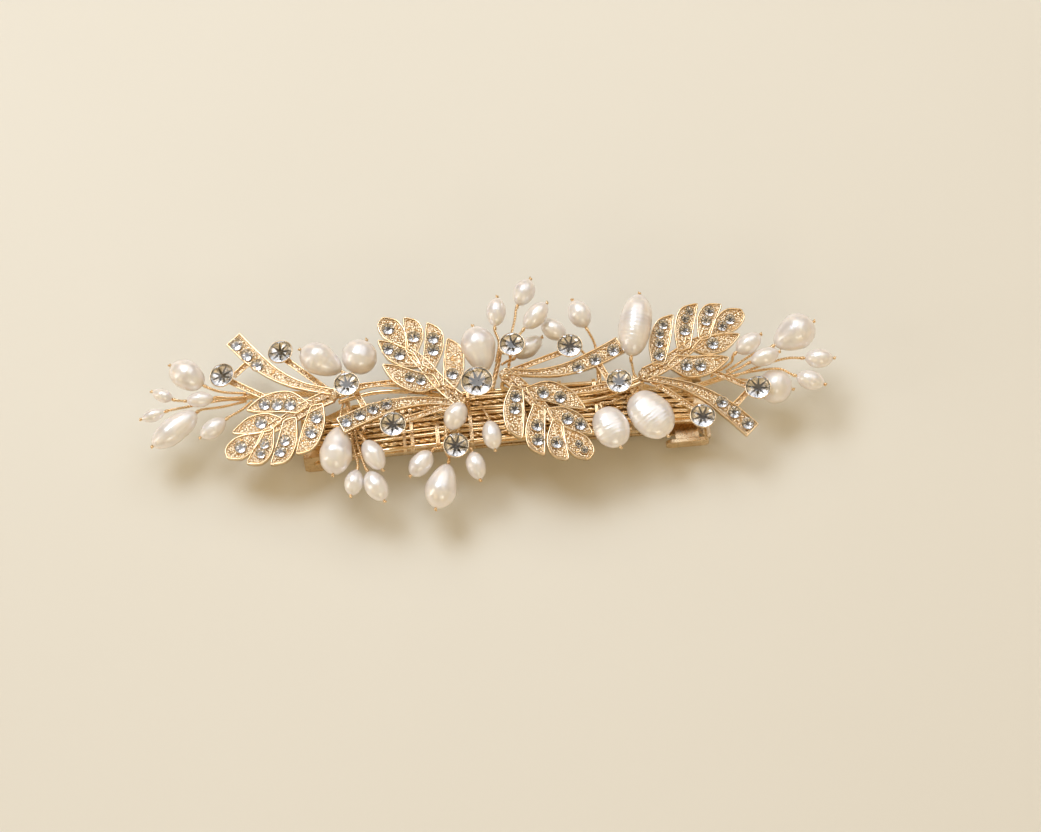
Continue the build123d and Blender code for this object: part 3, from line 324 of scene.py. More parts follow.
def lathe(b, origin, direction, profile, seg=40, mat=0, smooth=True):
    """Closed profile of (radius, height) turned about the axis."""
    u, v, w = axes_of(direction)
    o = np.asarray(origin, float)
    n = len(profile)
    V = []
    for k in range(seg):
        a = 2 * math.pi * k / seg
        d = u * math.cos(a) + v * math.sin(a)
        V += [o + d * max(r, 1e-4) + w * z for r, z in profile]
    F = []
    for k in range(seg):
        m = (k + 1) % seg
        for i in range(n):
            j = (i + 1) % n
            F.append([k * n + i, m * n + i, m * n + j, k * n + j])
    b.add(V, F, mat, smooth)


def brilliant(b, origin, direction, r, crown, pavilion, glass, foil, turn=0.0, table=0.56, girdle=0.04):
    """Round brilliant: table, stars, kites and halves over a foiled pavilion whose halves are bright foil and whose
    mains are a dark foil, painted dark reflection.
    """
    u, v, w = axes_of(direction)
    o = np.asarray(origin, float)

    def at(rad, deg, z):
        a = math.radians(deg) + turn
        return o + (u * math.cos(a) + v * math.sin(a)) * rad + w * z

    g = girdle * r
    rt, rc, rl = table * r, 0.79 * r, 0.28 * r
    zc = g + crown
    half = math.cos(math.radians(22.5))
    z_c = zc + (rc * half - rt) * (g - zc) / (r - rt)
    z_l = -pavilion + rl * half * (pavilion - g) / r
    V = [at(rt, 45 * k, zc) for k in range(8)]
    V += [at(rc, 45 * k + 22.5, z_c) for k in range(8)]
    V += [at(r, 22.5 * k, g) for k in range(16)]
    V += [at(r, 22.5 * k, -g) for k in range(16)]
    V += [at(rl, 45 * k + 22.5, z_l) for k in range(8)]
    V += [at(0, 0, -pavilion)]
    T, C, G, H, L, K = 0, 8, 16, 32, 48, 56
    up = [[T + k for k in range(8)]]
    low = []
    for k in range(8):
        n, p = (k + 1) % 8, (k - 1) % 8
        up.append([T + k, C + k, T + n])
        up.append([T + k, C + p, G + 2 * k, C + k])
        up.append([C + k, G + 2 * k, G + 2 * k + 1])
        up.append([C + k, G + 2 * k + 1, G + (2 * k + 2) % 16])
        low.append([K, L + p, H + 2 * k, L + k])
        low.append([L + k, H + 2 * k, H + 2 * k + 1])
        low.append([L + k, H + 2 * k + 1, H + (2 * k + 2) % 16])
    for k in range(16):
        n = (k + 1) % 16
        up.append([G + k, H + k, H + n, G + n])
    b.add(V, up + low, glass, False)
    # the pavilion mains take the dark foil (foil + 1): painted dark reflection that draws the dark star in each stone
    for i in range(len(low)):
        b.mi[i - len(low)] = foil + 1 if i % 3 == 0 else foil


def fill(b, pts3, mat, z_side=None, smooth=False):
    """A flat face over a closed outline given in 3D."""
    tri = tessellate_polygon([[Vector(p) for p in pts3]])
    b.add(pts3, [list(t) for t in tri], mat, smooth)


# ---------------------------------------------------------------------------
# materials
# ---------------------------------------------------------------------------
def new_mat(name):
    m = bpy.data.materials.new(name)
    m.use_nodes = True
    nt = m.node_tree
    return m, nt, nt.nodes["Principled BSDF"], nt.nodes.new, nt.links.new


def ramp(nt, fac, stops):
    n = nt.nodes.new("ShaderNodeValToRGB")
    while len(n.color_ramp.elements) < len(stops):
        n.color_ramp.elements.new(0.5)
    for e, (p, c) in zip(n.color_ramp.elements, stops):
        e.position = p
        e.color = c if len(c) == 4 else (*c, 1)
    nt.links.new(fac, n.inputs[0])
    return n.outputs[0]


def noise(nt, coord, scale, detail=3.0, rough=0.5, distortion=0.0):
    n = nt.nodes.new("ShaderNodeTexNoise")
    n.inputs["Scale"].default_value = scale
    n.inputs["Detail"].default_value = detail
    n.inputs["Roughness"].default_value = rough
    n.inputs["Distortion"].default_value = distortion
    nt.links.new(coord, n.inputs["Vector"])
    return n.outputs[0]


def bump(nt, height, strength, distance, normal=None):
    n = nt.nodes.new("ShaderNodeBump")
    n.inputs["Strength"].default_value = strength
    n.inputs["Distance"].default_value = distance
    nt.links.new(height, n.inputs["Height"])
    if normal is not None:
        nt.links.new(normal, n.inputs["Normal"])
    return n.outputs[0]


def gold(name, light, dark, rough, grain=None, fine=0.25, bevel=None, brushed=False):
    m, nt, bsdf, new, link = new_mat(name)
    coord = new("ShaderNodeTexCoord").outputs["Object"]
    tone = noise(nt, coord, 260, 4, 0.6)
    link(ramp(nt, tone, [(0.32, dark), (0.66, light)]), bsdf.inputs["Base Color"])
    bsdf.inputs["Metallic"].default_value = 1.0
    wear = noise(nt, coord, 900, 3, 0.6)
    link(ramp(nt, wear, [(0.3, (rough * 0.75,) * 3), (0.72, (rough * 1.5,) * 3)]), bsdf.inputs["Roughness"])
    normal = None
    if bevel:
        bv = new("ShaderNodeBevel")
        bv.samples = 4
        bv.inputs["Radius"].default_value = bevel
        normal = bv.outputs[0]
    if brushed:
        mp = new("ShaderNodeMapping")
        mp.inputs["Scale"].default_value = (40, 2500, 2500)
        link(coord, mp.inputs[0])
        normal = bump(nt, noise(nt, mp.outputs[0], 1.0, 4, 0.7), 0.25, 0.00002, normal)
    if grain:
        vor = new("ShaderNodeTexVoronoi")
        vor.feature = "F1"
        vor.inputs["Scale"].default_value = 1.0 / grain
        vor.inputs["Randomness"].default_value = 0.8
        link(coord, vor.inputs["Vector"])
        h = ramp(nt, vor.outputs["Distance"], [(0.0, (1, 1, 1)), (0.35, (0.80, 0.80, 0.80)), (0.8, (0, 0, 0))])
        normal = bump(nt, h, 0.9, grain * 0.42, normal)
        # the gaps between the grains are painted darker than the grain tops: painted shade in the crevices
        link(ramp(nt, vor.outputs["Distance"], [(0.0, light), (0.46, light), (0.66, dark), (0.88, tuple(c * c * 0.75 for c in dark))]), bsdf.inputs["Base Color"])
    normal = bump(nt, noise(nt, coord, 3200, 3, 0.6), fine, 0.00003, normal)
    link(normal, bsdf.inputs["Normal"])
    return m


gold_light, gold_dark = (0.93, 0.77, 0.54), (0.86, 0.64, 0.37)
mat_gold = gold("gold_polished", gold_light, gold_dark, 0.13)
# granulated gold: its dark colour goes into the gaps between grains as painted shade
mat_grain = gold("gold_granulated", (0.87, 0.73, 0.53), (0.74, 0.52, 0.28), 0.24, grain=0.00034)
mat_wire = gold("gold_wire", (0.97, 0.81, 0.57), (0.89, 0.64, 0.36), 0.17, fine=0.35)
mat_collet = gold("gold_collet", (0.95, 0.82, 0.62), (0.86, 0.68, 0.44), 0.13)
mat_backbone = gold("gold_backbone", (0.97, 0.81, 0.56), (0.88, 0.63, 0.35), 0.15)
# clip gold is darker than the ornament gold: partly the clip's own satin plating, partly painted shade for the clip
# pieces in shadow
mat_clip_satin_painted_shade = gold("gold_clip_satin_painted_shade", (0.86, 0.69, 0.45), (0.72, 0.52, 0.30), 0.26, bevel=0.00018, brushed=True)


def glass_mat():
    m, nt, bsdf, new, link = new_mat("rhinestone_glass")
    coord = new("ShaderNodeTexCoord").outputs["Object"]
    tint = noise(nt, coord, 600, 2)
    link(ramp(nt, tint, [(0.35, (0.98, 0.985, 1.0)), (0.65, (1.0, 1.0, 1.0))]), bsdf.inputs["Base Color"])
    bsdf.inputs["Transmission Weight"].default_value = 1.0
    bsdf.inputs["IOR"].default_value = 1.42
    link(ramp(nt, noise(nt, coord, 2500, 2), [(0.3, (0.0,) * 3), (0.8, (0.02,) * 3)]), bsdf.inputs["Roughness"])
    return m


def foil_mat(name, low, high, rough, metal):
    m, nt, bsdf, new, link = new_mat(name)
    coord = new("ShaderNodeTexCoord").outputs["Object"]
    link(ramp(nt, noise(nt, coord, 800, 3), [(0.35, low), (0.65, high)]), bsdf.inputs["Base Color"])
    bsdf.inputs["Metallic"].default_value = metal
    link(ramp(nt, noise(nt, coord, 3000, 2), [(0.3, (rough * 0.6,) * 3), (0.8, (rough * 1.4,) * 3)]), bsdf.inputs["Roughness"])
    return m


mat_glass = glass_mat()
mat_foil = foil_mat("rhinestone_foil", (0.96, 0.97, 0.98), (1.0, 1.0, 1.0), 0.20, 1.0)
# dark foil for the pavilion mains: painted dark reflection
mat_foil_painted_dark_reflection = foil_mat("rhinestone_foil_painted_dark_reflection", (0.11, 0.108, 0.105), (0.20, 0.196, 0.19), 0.18, 1.0)


def nacre(name, axis, ridged, warm):
    """Nacre: milky layers, faint rose and grey bands across the axis, growth lines, soft lustre."""
    m, nt, bsdf, new, link = new_mat(name)
    coord = new("ShaderNodeTexCoord").outputs["Object"]
    along = new("ShaderNodeVectorMath")
    along.operation = "DOT_PRODUCT"
    link(coord, along.inputs[0])
    along.inputs[1].default_value = tuple(axis)
    swirl = noise(nt, coord, 260, 3, 0.55, 0.6)
    mixn = new("ShaderNodeMath")
    mixn.operation = "MULTIPLY_ADD"
    link(along.outputs["Value"], mixn.inputs[0])
    mixn.inputs[1].default_value = 240.0
    link(swirl, mixn.inputs[2])
    band = new("ShaderNodeMath")
    band.operation = "SINE"
    scl = new("ShaderNodeMath")
    scl.operation = "MULTIPLY"
    link(mixn.outputs[0], scl.inputs[0])
    scl.inputs[1].default_value = 5.5
    link(scl.outputs[0], band.inputs[0])
    halfn = new("ShaderNodeMath")
    halfn.operation = "MULTIPLY_ADD"
    link(band.outputs[0], halfn.inputs[0])
    halfn.inputs[1].default_value = 0.22
    link(swirl, halfn.inputs[2])
    base = ramp(nt, halfn.outputs[0], [
        (0.22, (0.87, 0.86, 0.865)), (0.42, (0.955, 0.95, 0.935)), (0.60, (0.985, 0.975, 0.95) if warm else (0.98, 0.98, 0.97)),
        (0.82, (0.975, 0.945, 0.89) if warm else (0.97, 0.955, 0.93))])
    link(base, bsdf.inputs["Base Color"])
    bsdf.inputs["Metallic"].default_value = 0.26
    bsdf.inputs["Subsurface Weight"].default_value = 0.12
    bsdf.inputs["Subsurface Radius"].default_value = (0.0010, 0.0008, 0.0006)
    bsdf.inputs["Subsurface Scale"].default_value = 1.0
    link(ramp(nt, noise(nt, coord, 700, 3), [(0.3, (0.28,) * 3), (0.7, (0.38,) * 3)]), bsdf.inputs["Roughness"])
    bsdf.inputs["IOR"].default_value = 1.66
    bsdf.inputs["Coat Weight"].default_value = 1.0
    bsdf.inputs["Coat Roughness"].default_value = 0.15
    bsdf.inputs["Coat IOR"].default_value = 1.70
    bsdf.inputs["Sheen Weight"].default_value = 0.0
    bsdf.inputs["Thin Film Thickness"].default_value = 330.0
    bsdf.inputs["Thin Film IOR"].default_value = 1.45
    # growth lines round the axis and shallow dimples
    ring_in = new("ShaderNodeMath")
    ring_in.operation = "MULTIPLY_ADD"
    link(along.outputs["Value"], ring_in.inputs[0])
    ring_in.inputs[1].default_value = 9500.0 if ridged else 5200.0
    warp = new("ShaderNodeMath")
    warp.operation = "MULTIPLY"
    link(noise(nt, coord, 420, 3, 0.6), warp.inputs[0])
    warp.inputs[1].default_value = 9.0
    link(warp.outputs[0], ring_in.inputs[2])
    ring = new("ShaderNodeMath")
    ring.operation = "SINE"
    link(ring_in.outputs[0], ring.inputs[0])
    n1 = bump(nt, ring.outputs[0], 0.22 if ridged else 0.10, 0.00004)
    n2 = bump(nt, noise(nt, coord, 430, 3, 0.5), 0.20, 0.00022, n1)
    n3 = bump(nt, noise(nt, coord, 3800, 2, 0.5), 0.12, 0.00002, n2)
    link(n3, bsdf.inputs["Normal"])
    return m


# ---------------------------------------------------------------------------
# castings
# ---------------------------------------------------------------------------
def casting_matrix(spec):
    y, p, r = (math.radians(spec[k]) for k in ("yaw", "pitch", "roll"))
    rz = np.array([[math.cos(y), -math.sin(y), 0], [math.sin(y), math.cos(y), 0], [0, 0, 1]])
    ry = np.array([[math.cos(p), 0, -math.sin(p)], [0, 1, 0], [math.sin(p), 0, math.cos(p)]])
    rx = np.array([[1, 0, 0], [0, math.cos(r), -math.sin(r)], [0, math.sin(r), math.cos(r)]])
    return rz @ ry @ rx


def inset(P, d):
    """Moves a closed 2D outline inwards, softly at its tips."""
    area = 0.5 * np.sum(P[:, 0] * np.roll(P[:, 1], -1) - np.roll(P[:, 0], -1) * P[:, 1])
    T = np.roll(P, -1, 0) - np.roll(P, 1, 0)
    T /= np.linalg.norm(T, axis=1)[:, None] + 1e-12
    N = np.stack([-T[:, 1], T[:, 0]], 1) * (1 if area > 0 else -1)
    for _ in range(2):
        N = (np.roll(N, 1, 0) + 2 * N + np.roll(N, -1, 0)) / 4
    return P + N * d


def resample(P, step):
    Q = np.vstack([P, P[:1]])
    s = np.concatenate([[0], np.cumsum(np.linalg.norm(np.diff(Q, axis=0), axis=1))])
    n = max(12, int(s[-1] / step))
    t = np.linspace(0, s[-1], n, endpoint=False)
    return np.stack([np.interp(t, s, Q[:, i]) for i in range(Q.shape[1])], 1)


chaton_places, pave_places = [], []
POLISH, GRAIN, COLLET = 0, 1, 2


def cup(b, centre, direction, r_out, r_in, depth, mat):
    lathe(b, centre, direction, [
        (0.0, -depth), (0.55 * r_out * 0.75, -depth), (r_out * 0.55, -depth * 0.82), (r_out * 0.86, -depth * 0.30), (r_out * 0.97, -0.12),
        (r_out, -0.04), (r_out - 0.01, 0.06), (r_in + 0.04, 0.08), (r_in + 0.012, 0.05), (r_in + 0.01, -0.10), (r_in * 0.55, -depth * 0.62), (0.0, -depth * 0.80)],
        seg=48, mat=mat)
    # fine beaded line under the rim
    u, v, w = axes_of(direction)
    c = np.asarray(centre, float) - w * 0.10
    ring = [c + (u * math.cos(a) + v * math.sin(a)) * (r_out - 0.01) for a in np.linspace(0, 2 * math.pi, 60, endpoint=False)]
    tube(b, ring, 0.04, 6, mat, closed=True, up=w)


for name, spec in castings.items():
    M, J, hand = casting_matrix(spec), np.array(spec["at"]), spec["hand"]
    normal = M[:, 2]

    def to_world(p2, z):
        p2 = np.asarray(p2, float).reshape(-1, 2)
        zz = np.full(len(p2), z) if np.isscalar(z) else np.asarray(z)
        return J + np.stack([p2[:, 0], p2[:, 1] * hand, zz], 1) @ M.T

    b = Build()

    def plate(outline, z0, z1, rim, second, top_mat=GRAIN, rim_r=0.15):
        """Side wall, back, granulated field, raised polished rim and a fine second line."""
        n = len(outline)
        low, mid, top = to_world(inset(outline, 0.06), z0), to_world(outline, z0 + 0.12), to_world(outline, z1)
        V = np.vstack([low, mid, top])
        F = []
        for k in range(2):
            for i in range(n):
                j = (i + 1) % n
                F.append([k * n + i, k * n + j, (k + 1) * n + j, (k + 1) * n + i])
        b.add(V, F, POLISH)
        fill(b, low, POLISH)
        fill(b, to_world(outline, z1 - 0.16), top_mat)
        if rim:
            tube(b, to_world(inset(outline, rim_r * 0.9), z1 + 0.02), rim_r, 10, POLISH, closed=True, up=normal, flat=1.05)
        if second:
            tube(b, to_world(inset(outline, 0.42), z1 - 0.10), 0.06, 6, POLISH, closed=True, up=normal, flat=1.2)

    for outer_edge, inner_edge in leaflets:
        edge = list(curve_through(outer_edge, 0.35)) + list(curve_through(inner_edge, 0.35))[1:]
        edge = [p for i, p in enumerate(edge) if i == 0 or np.linalg.norm(p - edge[i - 1]) > 0.02]
        if np.linalg.norm(edge[0] - edge[-1]) < 0.02:
            edge = edge[:-1]
        outline = inset(resample(np.array(edge), 0.30), -0.28)
        plate(outline, -0.5, 0.34, True, True)
    # midrib: granulated, between two polished edge lines
    vein_line = resample(np.array(vein, float), 0.35)
    plate(inset(vein_line, -0.10), -0.38, 0.30, False, False)
    up_edge = curve_through([vein[i] for i in range(1, 7)], 0.35)
    low_edge = curve_through([vein[i] for i in (12, 11, 10, 9, 8, 7)], 0.35)
    for line in (up_edge, low_edge):
        taper = np.linspace(0.14, 0.09, len(line))
        tube(b, to_world(line, 0.30), taper, 8, POLISH, up=normal)
    mid_line = curve_through([(0.2, -0.2), (2.6, 0.3), (5.6, 1.1), (8.5, 2.2), (11.4, 3.0), (13.6, 3.7), (15.6, 4.9)], 0.35)
    tube(b, to_world(mid_line, 0.34), np.linspace(0.20, 0.10, len(mid_line)), 8, GRAIN, up=normal)
    # side veins running out between the leaflets
    for a, c in (((4.6, 1.6), (6.9, 6.2)), ((7.9, 2.5), (10.9, 7.0)), ((11.0, 3.4), (14.4, 6.9)), ((8.2, 1.4), (12.2, 3.0)), ((3.4, 0.1), (6.4, -1.4))):
        ln = curve_through([a, ((a[0] + c[0]) / 2 - 0.15, (a[1] + c[1]) / 2), c], 0.35)
        tube(b, to_world(ln, 0.24), np.linspace(0.15, 0.07, len(ln)), 6, POLISH, up=normal)
    # ribbon
    upper, lower = curve_through(ribbon_upper, 0.35), curve_through(ribbon_lower, 0.35)
    ribbon = resample(np.vstack([upper, lower]), 0.32)
    plate(ribbon, -0.45, 0.32, False, False)
    tube(b, to_world(inset(ribbon, 0.13), 0.34), 0.15, 10, POLISH, closed=True, up=normal)
    n_up = resample(np.vstack([upper, lower]), 0.32)
    tube(b, to_world(inset(n_up, 0.42), 0.26), 0.06, 6, POLISH, closed=True, up=normal, flat=1.2)
    # flat double-line stems to the cups
    for strip in cup_stems:
        q = np.array(strip, float)
        plate(inset(resample(q, 0.35), 0.06), -0.3, 0.10, False, False)
        ends = ((q[0], q[1]), (q[3], q[2]))
        for a, c in ends:
            tube(b, to_world(np.array([a + (c - a) * t for t in np.linspace(0, 1, 16)]), 0.16), 0.12, 8, POLISH, up=normal)
    # rods that tie the casting to the backbone
    for route in tails[name]:
        tube(b, curve_through(route, 0.5), tail_r, 10, POLISH)
    # junction knob
    ball(b, to_world([(0.0, -0.2)], 0.05)[0], 0.95, GRAIN, 20, 10, 0.62, normal)
    for (spot, lift), lean in zip(cups_local, spec["lean"]):
        centre = J + M @ np.array([spot[0], spot[1] * hand, lift])
        direction = unit([lean[0], lean[1], 1])
        chaton_places.append((centre, direction))
        cup(b, centre, direction, cup_r, stone_r, 1.95, COLLET)
    # bead prongs round each small stone
    pts = pave[name]
    for i, (x, y) in enumerate(pts):
        near = min(math.hypot(x - c, y - d) for j, (c, d) in enumerate(pts) if j != i)
        r = round(min(0.93, near / 2 - 0.05), 3)
        r = round(min(1.06, near / 2 - 0.01), 3)
        pave_places.append((J + M @ np.array([x, y * hand, 0.0]), normal, r, i % 7))
        # bright-cut seat under the stone
        u, v, w = axes_of(normal)
        c0 = J + M @ np.array([x, y * hand, 0.30])
        ring = [c0 + (u * math.cos(a) + v * math.sin(a)) * (r + 0.02) for a in np.linspace(0, 2 * math.pi, 36, endpoint=False)]
        tube(b, ring, 0.05, 6, POLISH, closed=True, up=w)
        for k in range(4):
            a = math.radians(45 + 90 * k + 13 * (i % 5))
            ball(b, c0 + (u * math.cos(a) + v * math.sin(a)) * (r + 0.01) + w * 0.22, 0.11, POLISH, 10, 6)
    b.make("visual_" + name, [mat_gold, mat_grain, mat_collet], [name])

b = Build()
for centre, direction, r, turn in pave_places:
    brilliant(b, np.asarray(centre) + np.asarray(direction) * 0.50, direction, r, 0.20 * r + 0.04, 0.32, 0, 1, turn=turn * 0.4, table=0.52)
b.make("visual_pave_stones", [mat_glass, mat_foil, mat_foil_painted_dark_reflection], ["pave_stones"])

# ---------------------------------------------------------------------------
# centre stone and the two stones on posts
# ---------------------------------------------------------------------------
centre_at, centre_dir, centre_r = (-1.28, 0.97, 15.0), unit((-0.02, 0.02, 1)), 2.5
b = Build()
cup(b, centre_at, centre_dir, centre_r + 0.16, centre_r + 0.04, 2.6, 0)
tube(b, curve_through([(-1.28, 0.97, 9.95), (-1.25, 0.95, 11.2), (-1.28, 0.97, 12.6)], 0.2), 0.5, 14, 0)
for k in range(3):
    ring = [(-1.28 + 0.62 * math.cos(a), 0.97 + 0.62 * math.sin(a), 11.3 + 0.26 * k) for a in np.linspace(0, 2 * math.pi, 28, endpoint=False)]
    tube(b, ring, 0.12, 8, 0, closed=True, up=(0, 0, 1))
b.make("visual_centre_setting", [mat_collet], ["centre_setting"])
b = Build()
brilliant(b, np.array(centre_at), centre_dir, centre_r + 0.03, 0.66, 0.92, 0, 1, turn=0.25)
b.make("visual_centre_stone", [mat_glass, mat_foil, mat_foil_painted_dark_reflection], ["centre_stone"])

posts = [
    ((5.14, 7.72, 13.6), unit((-0.05, 0.05, 1)), [(3.9, 3.2, 10.35), (4.4, 5.2, 10.9), (5.1, 7.7, 11.9)]),
    ((-5.64, -8.57, 11.4), unit((0.0, -0.06, 1)), [(-4.9, -5.0, 10.05), (-5.3, -7.1, 9.8), (-5.64, -8.4, 9.6)]),
]


def twisted(b, path, strands, r, offset, pitch, sides=6, mat=0, phase=0.0):
    """Strands twisted round a path."""
    P = np.asarray(path, float)
    T, N, B = frames(P)
    s = np.concatenate([[0], np.cumsum(np.linalg.norm(np.diff(P, axis=0), axis=1))])
    for k in range(strands):
        a = 2 * np.pi * (s / pitch + k / strands) + phase
        tube(b, P + (N * np.cos(a)[:, None] + B * np.sin(a)[:, None]) * offset, r, sides, mat)


b = Build()
for centre, direction, route in posts:
    cup(b, centre, direction, cup_r, stone_r, 1.95, 1)
    twisted(b, curve_through(route, 0.12), 2, 0.16, 0.15, 1.4, 7, 0)
    chaton_places.append((np.array(centre), direction))
b.make("visual_wire_settings", [mat_wire, mat_collet], ["wire_settings"])

b = Build()
for i, (centre, direction) in enumerate(chaton_places):
    brilliant(b, np.asarray(centre), direction, stone_r, 0.50, 0.72, 0, 1, turn=0.31 * i)
b.make("visual_chaton_stones", [mat_glass, mat_foil, mat_foil_painted_dark_reflection], ["chaton_stones"])

# ---------------------------------------------------------------------------
# pearls
# ---------------------------------------------------------------------------
forms = {
    "rice": [(0.06, 0.45), (0.2, 0.78), (0.5, 1.0), (0.8, 0.78), (0.94, 0.45)],
    "round": [(0.05, 0.45), (0.2, 0.80), (0.5, 1.0), (0.8, 0.80), (0.95, 0.45)],
    "egg": [(0.05, 0.34), (0.2, 0.66), (0.45, 0.93), (0.62, 1.0), (0.82, 0.82), (0.95, 0.47)],
    "long": [(0.05, 0.44), (0.18, 0.76), (0.4, 0.97), (0.6, 1.0), (0.8, 0.80), (0.95, 0.44)],
    "ridged": [(0.04, 0.40), (0.15, 0.72), (0.35, 0.96), (0.6, 1.0), (0.82, 0.80), (0.96, 0.40)],
    "button": [(0.05, 0.48), (0.2, 0.82), (0.45, 1.0), (0.6, 1.0), (0.8, 0.84), (0.95, 0.48)],
}
for idx, (name, (base, tip, r, form)) in enumerate(pearls.items()):
    rng = np.random.default_rng(100 + idx)
    base, tip = np.array(base), np.array(tip)
    along = unit(tip - base)
    length = np.linalg.norm(tip - base)
    side = unit(np.cross(along, [0, 0, 1]))
    third = np.cross(along, side)
    flat = 0.64 if form == "button" else 1.0
    prof = curve_through([(0.30, 0.0)] + [(s * r, t * length) for t, s in forms[form]] + [(0.30, length)], length / 60)
    prof = np.vstack([[(0.02, 0.28)], [(0.16, 0.12)], prof, [(0.16, length - 0.12)], [(0.02, length - 0.28)]])
    seg = 72
    ang = np.linspace(0, 2 * np.pi, seg, endpoint=False)
    waves = [(rng.normal(size=3) * k, rng.uniform(0, 6.28), a) for k, a in ((1.2, 0.020), (1.7, 0.018), (2.6, 0.012), (4.5, 0.006))]
    ring_amp = 0.006 if form in ("ridged", "button") else (0.003 if idx % 3 == 0 else 0.001)
    V = []
    for rad, h in prof:
        t = h / length
        d = np.cos(ang)[:, None] * side + np.sin(ang)[:, None] * third
        q = d * (rad / r) + along * (2 * t - 1) * length / (2 * r)
        wob = sum(a * np.sin(q @ k + ph) for k, ph, a in waves) * math.sin(math.pi * min(max(t, 0), 1)) ** 0.5
        rings = ring_amp * math.sin(2 * math.pi * (t * (13 if form == "ridged" else 8)) + 2.2 * math.sin(3.1 * t + idx)) * math.sin(math.pi * min(max(t, 0), 1))
        f = 1.0 + wob - 0.012 + rings
        V.append(base + along * h + (np.cos(ang)[:, None] * side + np.sin(ang)[:, None] * third * flat) * (rad * f)[:, None])
    V = np.array(V).reshape(-1, 3)
    n = len(prof)
    F = []
    for i in range(n - 1):
        for k in range(seg):
            m = (k + 1) % seg
            F.append([i * seg + k, i * seg + m, (i + 1) * seg + m, (i + 1) * seg + k])
    F.append(list(range(seg))[::-1])
    F.append([(n - 1) * seg + k for k in range(seg)])
    b = Build()
    b.add(V, F, 0)
    b.make("visual_" + name, [nacre("nacre_" + name, along, form in ("ridged", "button"), idx % 2 == 0)], [name])

# ---------------------------------------------------------------------------
# pearl wires
# ---------------------------------------------------------------------------
for spray_name, wires in sprays.items():
    b = Build()
    for w_i, (target, r, route) in enumerate(wires):
        route = [np.array(p, float) for p in route]
        if target in pearls:
            base, tip = np.array(pearls[target][0]), np.array(pearls[target][1])
            along = unit(tip - base)
            pts = route + [base - along * 0.7, base + along * 0.3, tip + along * 0.25]
            path = curve_through(pts, 0.11)
            twisted(b, path, 2, 0.135, 0.13, 0.95, 7, 0, w_i)
            # the wire turns back on itself beyond the pearl, and a few turns lie below it
            side = unit(np.cross(along, [0.2, 0.1, 1]))
            third = np.cross(along, side)
            for c0, turns, rad, rise, thick in ((tip + along * 0.14, 1.6, 0.20, 0.30, 0.105), (base - along * 0.62, 2.6, 0.23, 0.42, 0.10)):
                coil = [c0 + (side * math.cos(a) + third * math.sin(a)) * rad + along * rise * a / (2 * math.pi * turns)
                        for a in np.linspace(0, 2 * math.pi * turns, int(16 * turns))]
                tube(b, coil, thick, 7, 0)
        else:
            path = curve_through(route, 0.2)
            strands = 6 if r > 0.43 else 4
            twisted(b, path, strands, r * 0.36, r * 0.66, 4.2, 7, 0, w_i)
            twisted(b, path, 2, r * 0.24, r * 0.92, 1.5, 6, 0, w_i + 1.1)
            tube(b, path, r * 0.42, 8, 0)
            for end in (0, -1):
                ball(b, path[end], r * 0.85, 0, 12, 8)
    b.make("visual_" + spray_name, [mat_wire], [spray_name])

# ---------------------------------------------------------------------------
# backbone and bindings
# ---------------------------------------------------------------------------
b = Build()
wire_arc_r = plate_radius + backbone_r + 0.04
for i in range(10):
    y_rel = (i - 4.5) * backbone_pitch
    inner = abs(y_rel) < 3.0
    x0 = -29.0 + 0.6 * (i % 3) if inner else -22.8 + 0.5 * (i % 2)
    x1 = 35.6 - 0.7 * (i % 4) if inner else 23.8 - 0.6 * (i % 2)
    xs = np.arange(x0, x1, 0.28)
    P = np.array([(x, clip_y + y_rel + 0.05 * math.sin(0.31 * x + 1.7 * i), arc_z + math.sqrt(wire_arc_r ** 2 - (x - plate_mid_x) ** 2)) for x in xs])
    if i % 3 == 1:
        twisted(b, P, 2, 0.20, 0.19, 3.4, 8, 0, i)
    else:
        tube(b, P, 0.385, 12, 0)
b.make("visual_backbone_wires", [mat_backbone], ["backbone_wires"])

b = Build()
for n_b, x in enumerate(binding_x):
    half, z1, z0 = 4.75 + 0.08 + 0.13, arch(x) + 2 * backbone_r + 0.14 + 0.13, arch(x, plate_thick) - 0.12 - 0.13
    rr = 0.45
    corners = []
    for cx, cz, a0 in ((half - rr, z1 - rr, 0), (-half + rr, z1 - rr, 90), (-half + rr, z0 + rr, 180), (half - rr, z0 + rr, 270)):
        corners += [(cx + rr * math.cos(math.radians(a0 + t)), cz + rr * math.sin(math.radians(a0 + t))) for t in np.linspace(0, 90, 7)]
    loop = resample(np.array(corners), 0.4)
    for k in (-1, 0, 1):
        skew = 0.05 * math.sin(n_b + k)
        P = [(x + 0.20 * k + skew * (yy / 4.8), clip_y + yy, zz) for yy, zz in loop]
        tube(b, P, 0.105, 7, 0, closed=True)
b.make("visual_binding_wires", [mat_wire], ["binding_wires"])

# the clip's own pieces keep their CAD shapes
for node in ("clip_plate", "hinge_pin", "clasp_arm", "bow_spring", "latch_saddle", "latch_ear_front", "latch_ear_rear"):
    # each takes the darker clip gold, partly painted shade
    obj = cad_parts[node]
    obj.data.materials.clear()
    obj.data.materials.append(mat_clip_satin_painted_shade)

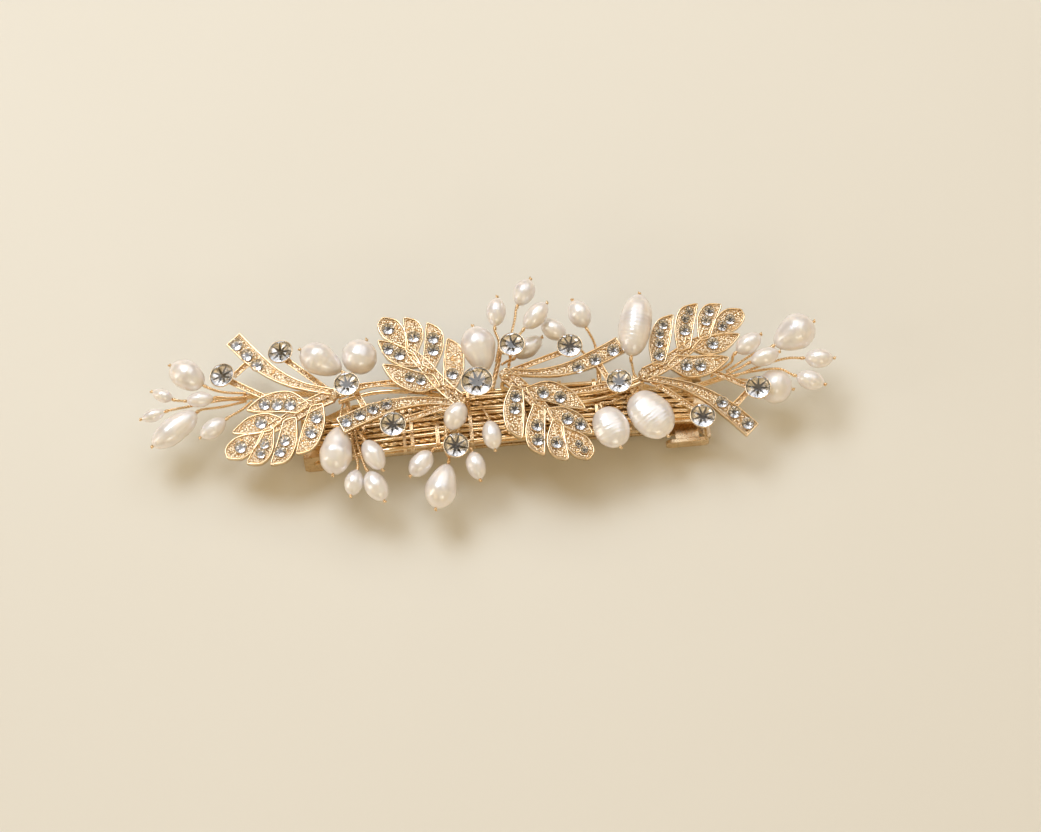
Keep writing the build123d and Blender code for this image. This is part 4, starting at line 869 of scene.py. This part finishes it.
# ---------------------------------------------------------------------------
# table top, light and camera
# ---------------------------------------------------------------------------
m, nt, bsdf, new, link = new_mat("paper_backdrop")
coord = new("ShaderNodeTexCoord").outputs["Object"]
link(ramp(nt, noise(nt, coord, 7, 3), [(0.35, (0.825, 0.83, 0.765)), (0.65, (0.84, 0.847, 0.785))]), bsdf.inputs["Base Color"])
bsdf.inputs["Roughness"].default_value = 0.85
bsdf.inputs["Specular IOR Level"].default_value = 0.2
link(bump(nt, noise(nt, coord, 1500, 4), 0.06, 0.0002), bsdf.inputs["Normal"])
mesh = bpy.data.meshes.new("table_top")
size, cells = 1.6, 8
vv = [(-size + 2 * size * i / cells, -size + 2 * size * j / cells, -0.00004) for j in range(cells + 1) for i in range(cells + 1)]
ff = [(j * (cells + 1) + i, j * (cells + 1) + i + 1, (j + 1) * (cells + 1) + i + 1, (j + 1) * (cells + 1) + i) for j in range(cells) for i in range(cells)]
mesh.from_pydata(vv, [], ff)
mesh.materials.append(m)
floor = bpy.data.objects.new("table_top", mesh)
bpy.context.scene.collection.objects.link(floor)


def area(name, place, target, size_x, size_y, power, colour):
    light = bpy.data.lights.new(name, "AREA")
    light.shape = "RECTANGLE"
    light.size, light.size_y, light.energy, light.color = size_x, size_y, power, colour
    obj = bpy.data.objects.new(name, light)
    obj.location = place
    obj.rotation_euler = (Vector(target) - Vector(place)).to_track_quat("-Z", "Y").to_euler()
    bpy.context.scene.collection.objects.link(obj)


area("key_softbox", (-0.18, 0.26, 0.58), (0, 0, 0), 0.34, 0.26, 1.42, (0.94, 1.0, 1.10))
area("overhead_panel", (0.10, 0.36, 0.66), (0, 0, 0), 0.95, 0.62, 2.05, (0.95, 1.0, 1.09))
area("left_strip", (-0.55, -0.10, 0.25), (0, 0, 0.01), 0.10, 0.40, 0.30, (1.0, 0.99, 0.97))
area("front_strip", (0.10, -0.60, 0.35), (0, 0, 0), 0.30, 0.06, 0.20, (1.0, 0.99, 0.97))

world = bpy.data.worlds.new("room")
world.use_nodes = True
bg = world.node_tree.nodes["Background"]
wt = world.node_tree
around = wt.nodes.new("ShaderNodeTexCoord").outputs["Generated"]
patches = noise(wt, around, 2.6, 1.5, 0.5, 0.4)
room = ramp(wt, patches, [(0.37, (0.05, 0.027, 0.009)), (0.47, (0.38, 0.25, 0.11)), (0.56, (1.0, 0.72, 0.37)), (0.66, (1.85, 1.36, 0.77))])
wt.links.new(room, bg.inputs["Color"])
bg.inputs["Strength"].default_value = 0.74
bpy.context.scene.world = world
bpy.context.scene.view_settings.view_transform = "Standard"
bpy.context.scene.view_settings.look = "None"

tilt, swing = math.radians(67.0), math.radians(-5.43)
right = Vector((math.cos(swing), math.sin(swing), 0))
upward = Vector((-math.sin(swing) * math.sin(tilt), math.cos(swing) * math.sin(tilt), math.cos(tilt)))
back = Vector((math.sin(swing) * math.cos(tilt), -math.cos(swing) * math.cos(tilt), math.sin(tilt)))
cam_data = bpy.data.cameras.new("camera")
cam_data.lens, cam_data.sensor_width, cam_data.sensor_fit = 100.0, 36.0, "HORIZONTAL"
cam_data.clip_start, cam_data.clip_end = 0.01, 10
cam = bpy.data.objects.new("camera", cam_data)
spot = Vector((5.5, -3.4, 9.0)) * MM + back * 0.480
cam.matrix_world = Matrix(((right.x, upward.x, back.x, spot.x), (right.y, upward.y, back.y, spot.y), (right.z, upward.z, back.z, spot.z), (0, 0, 0, 1)))
bpy.context.scene.collection.objects.link(cam)
bpy.context.scene.camera = cam
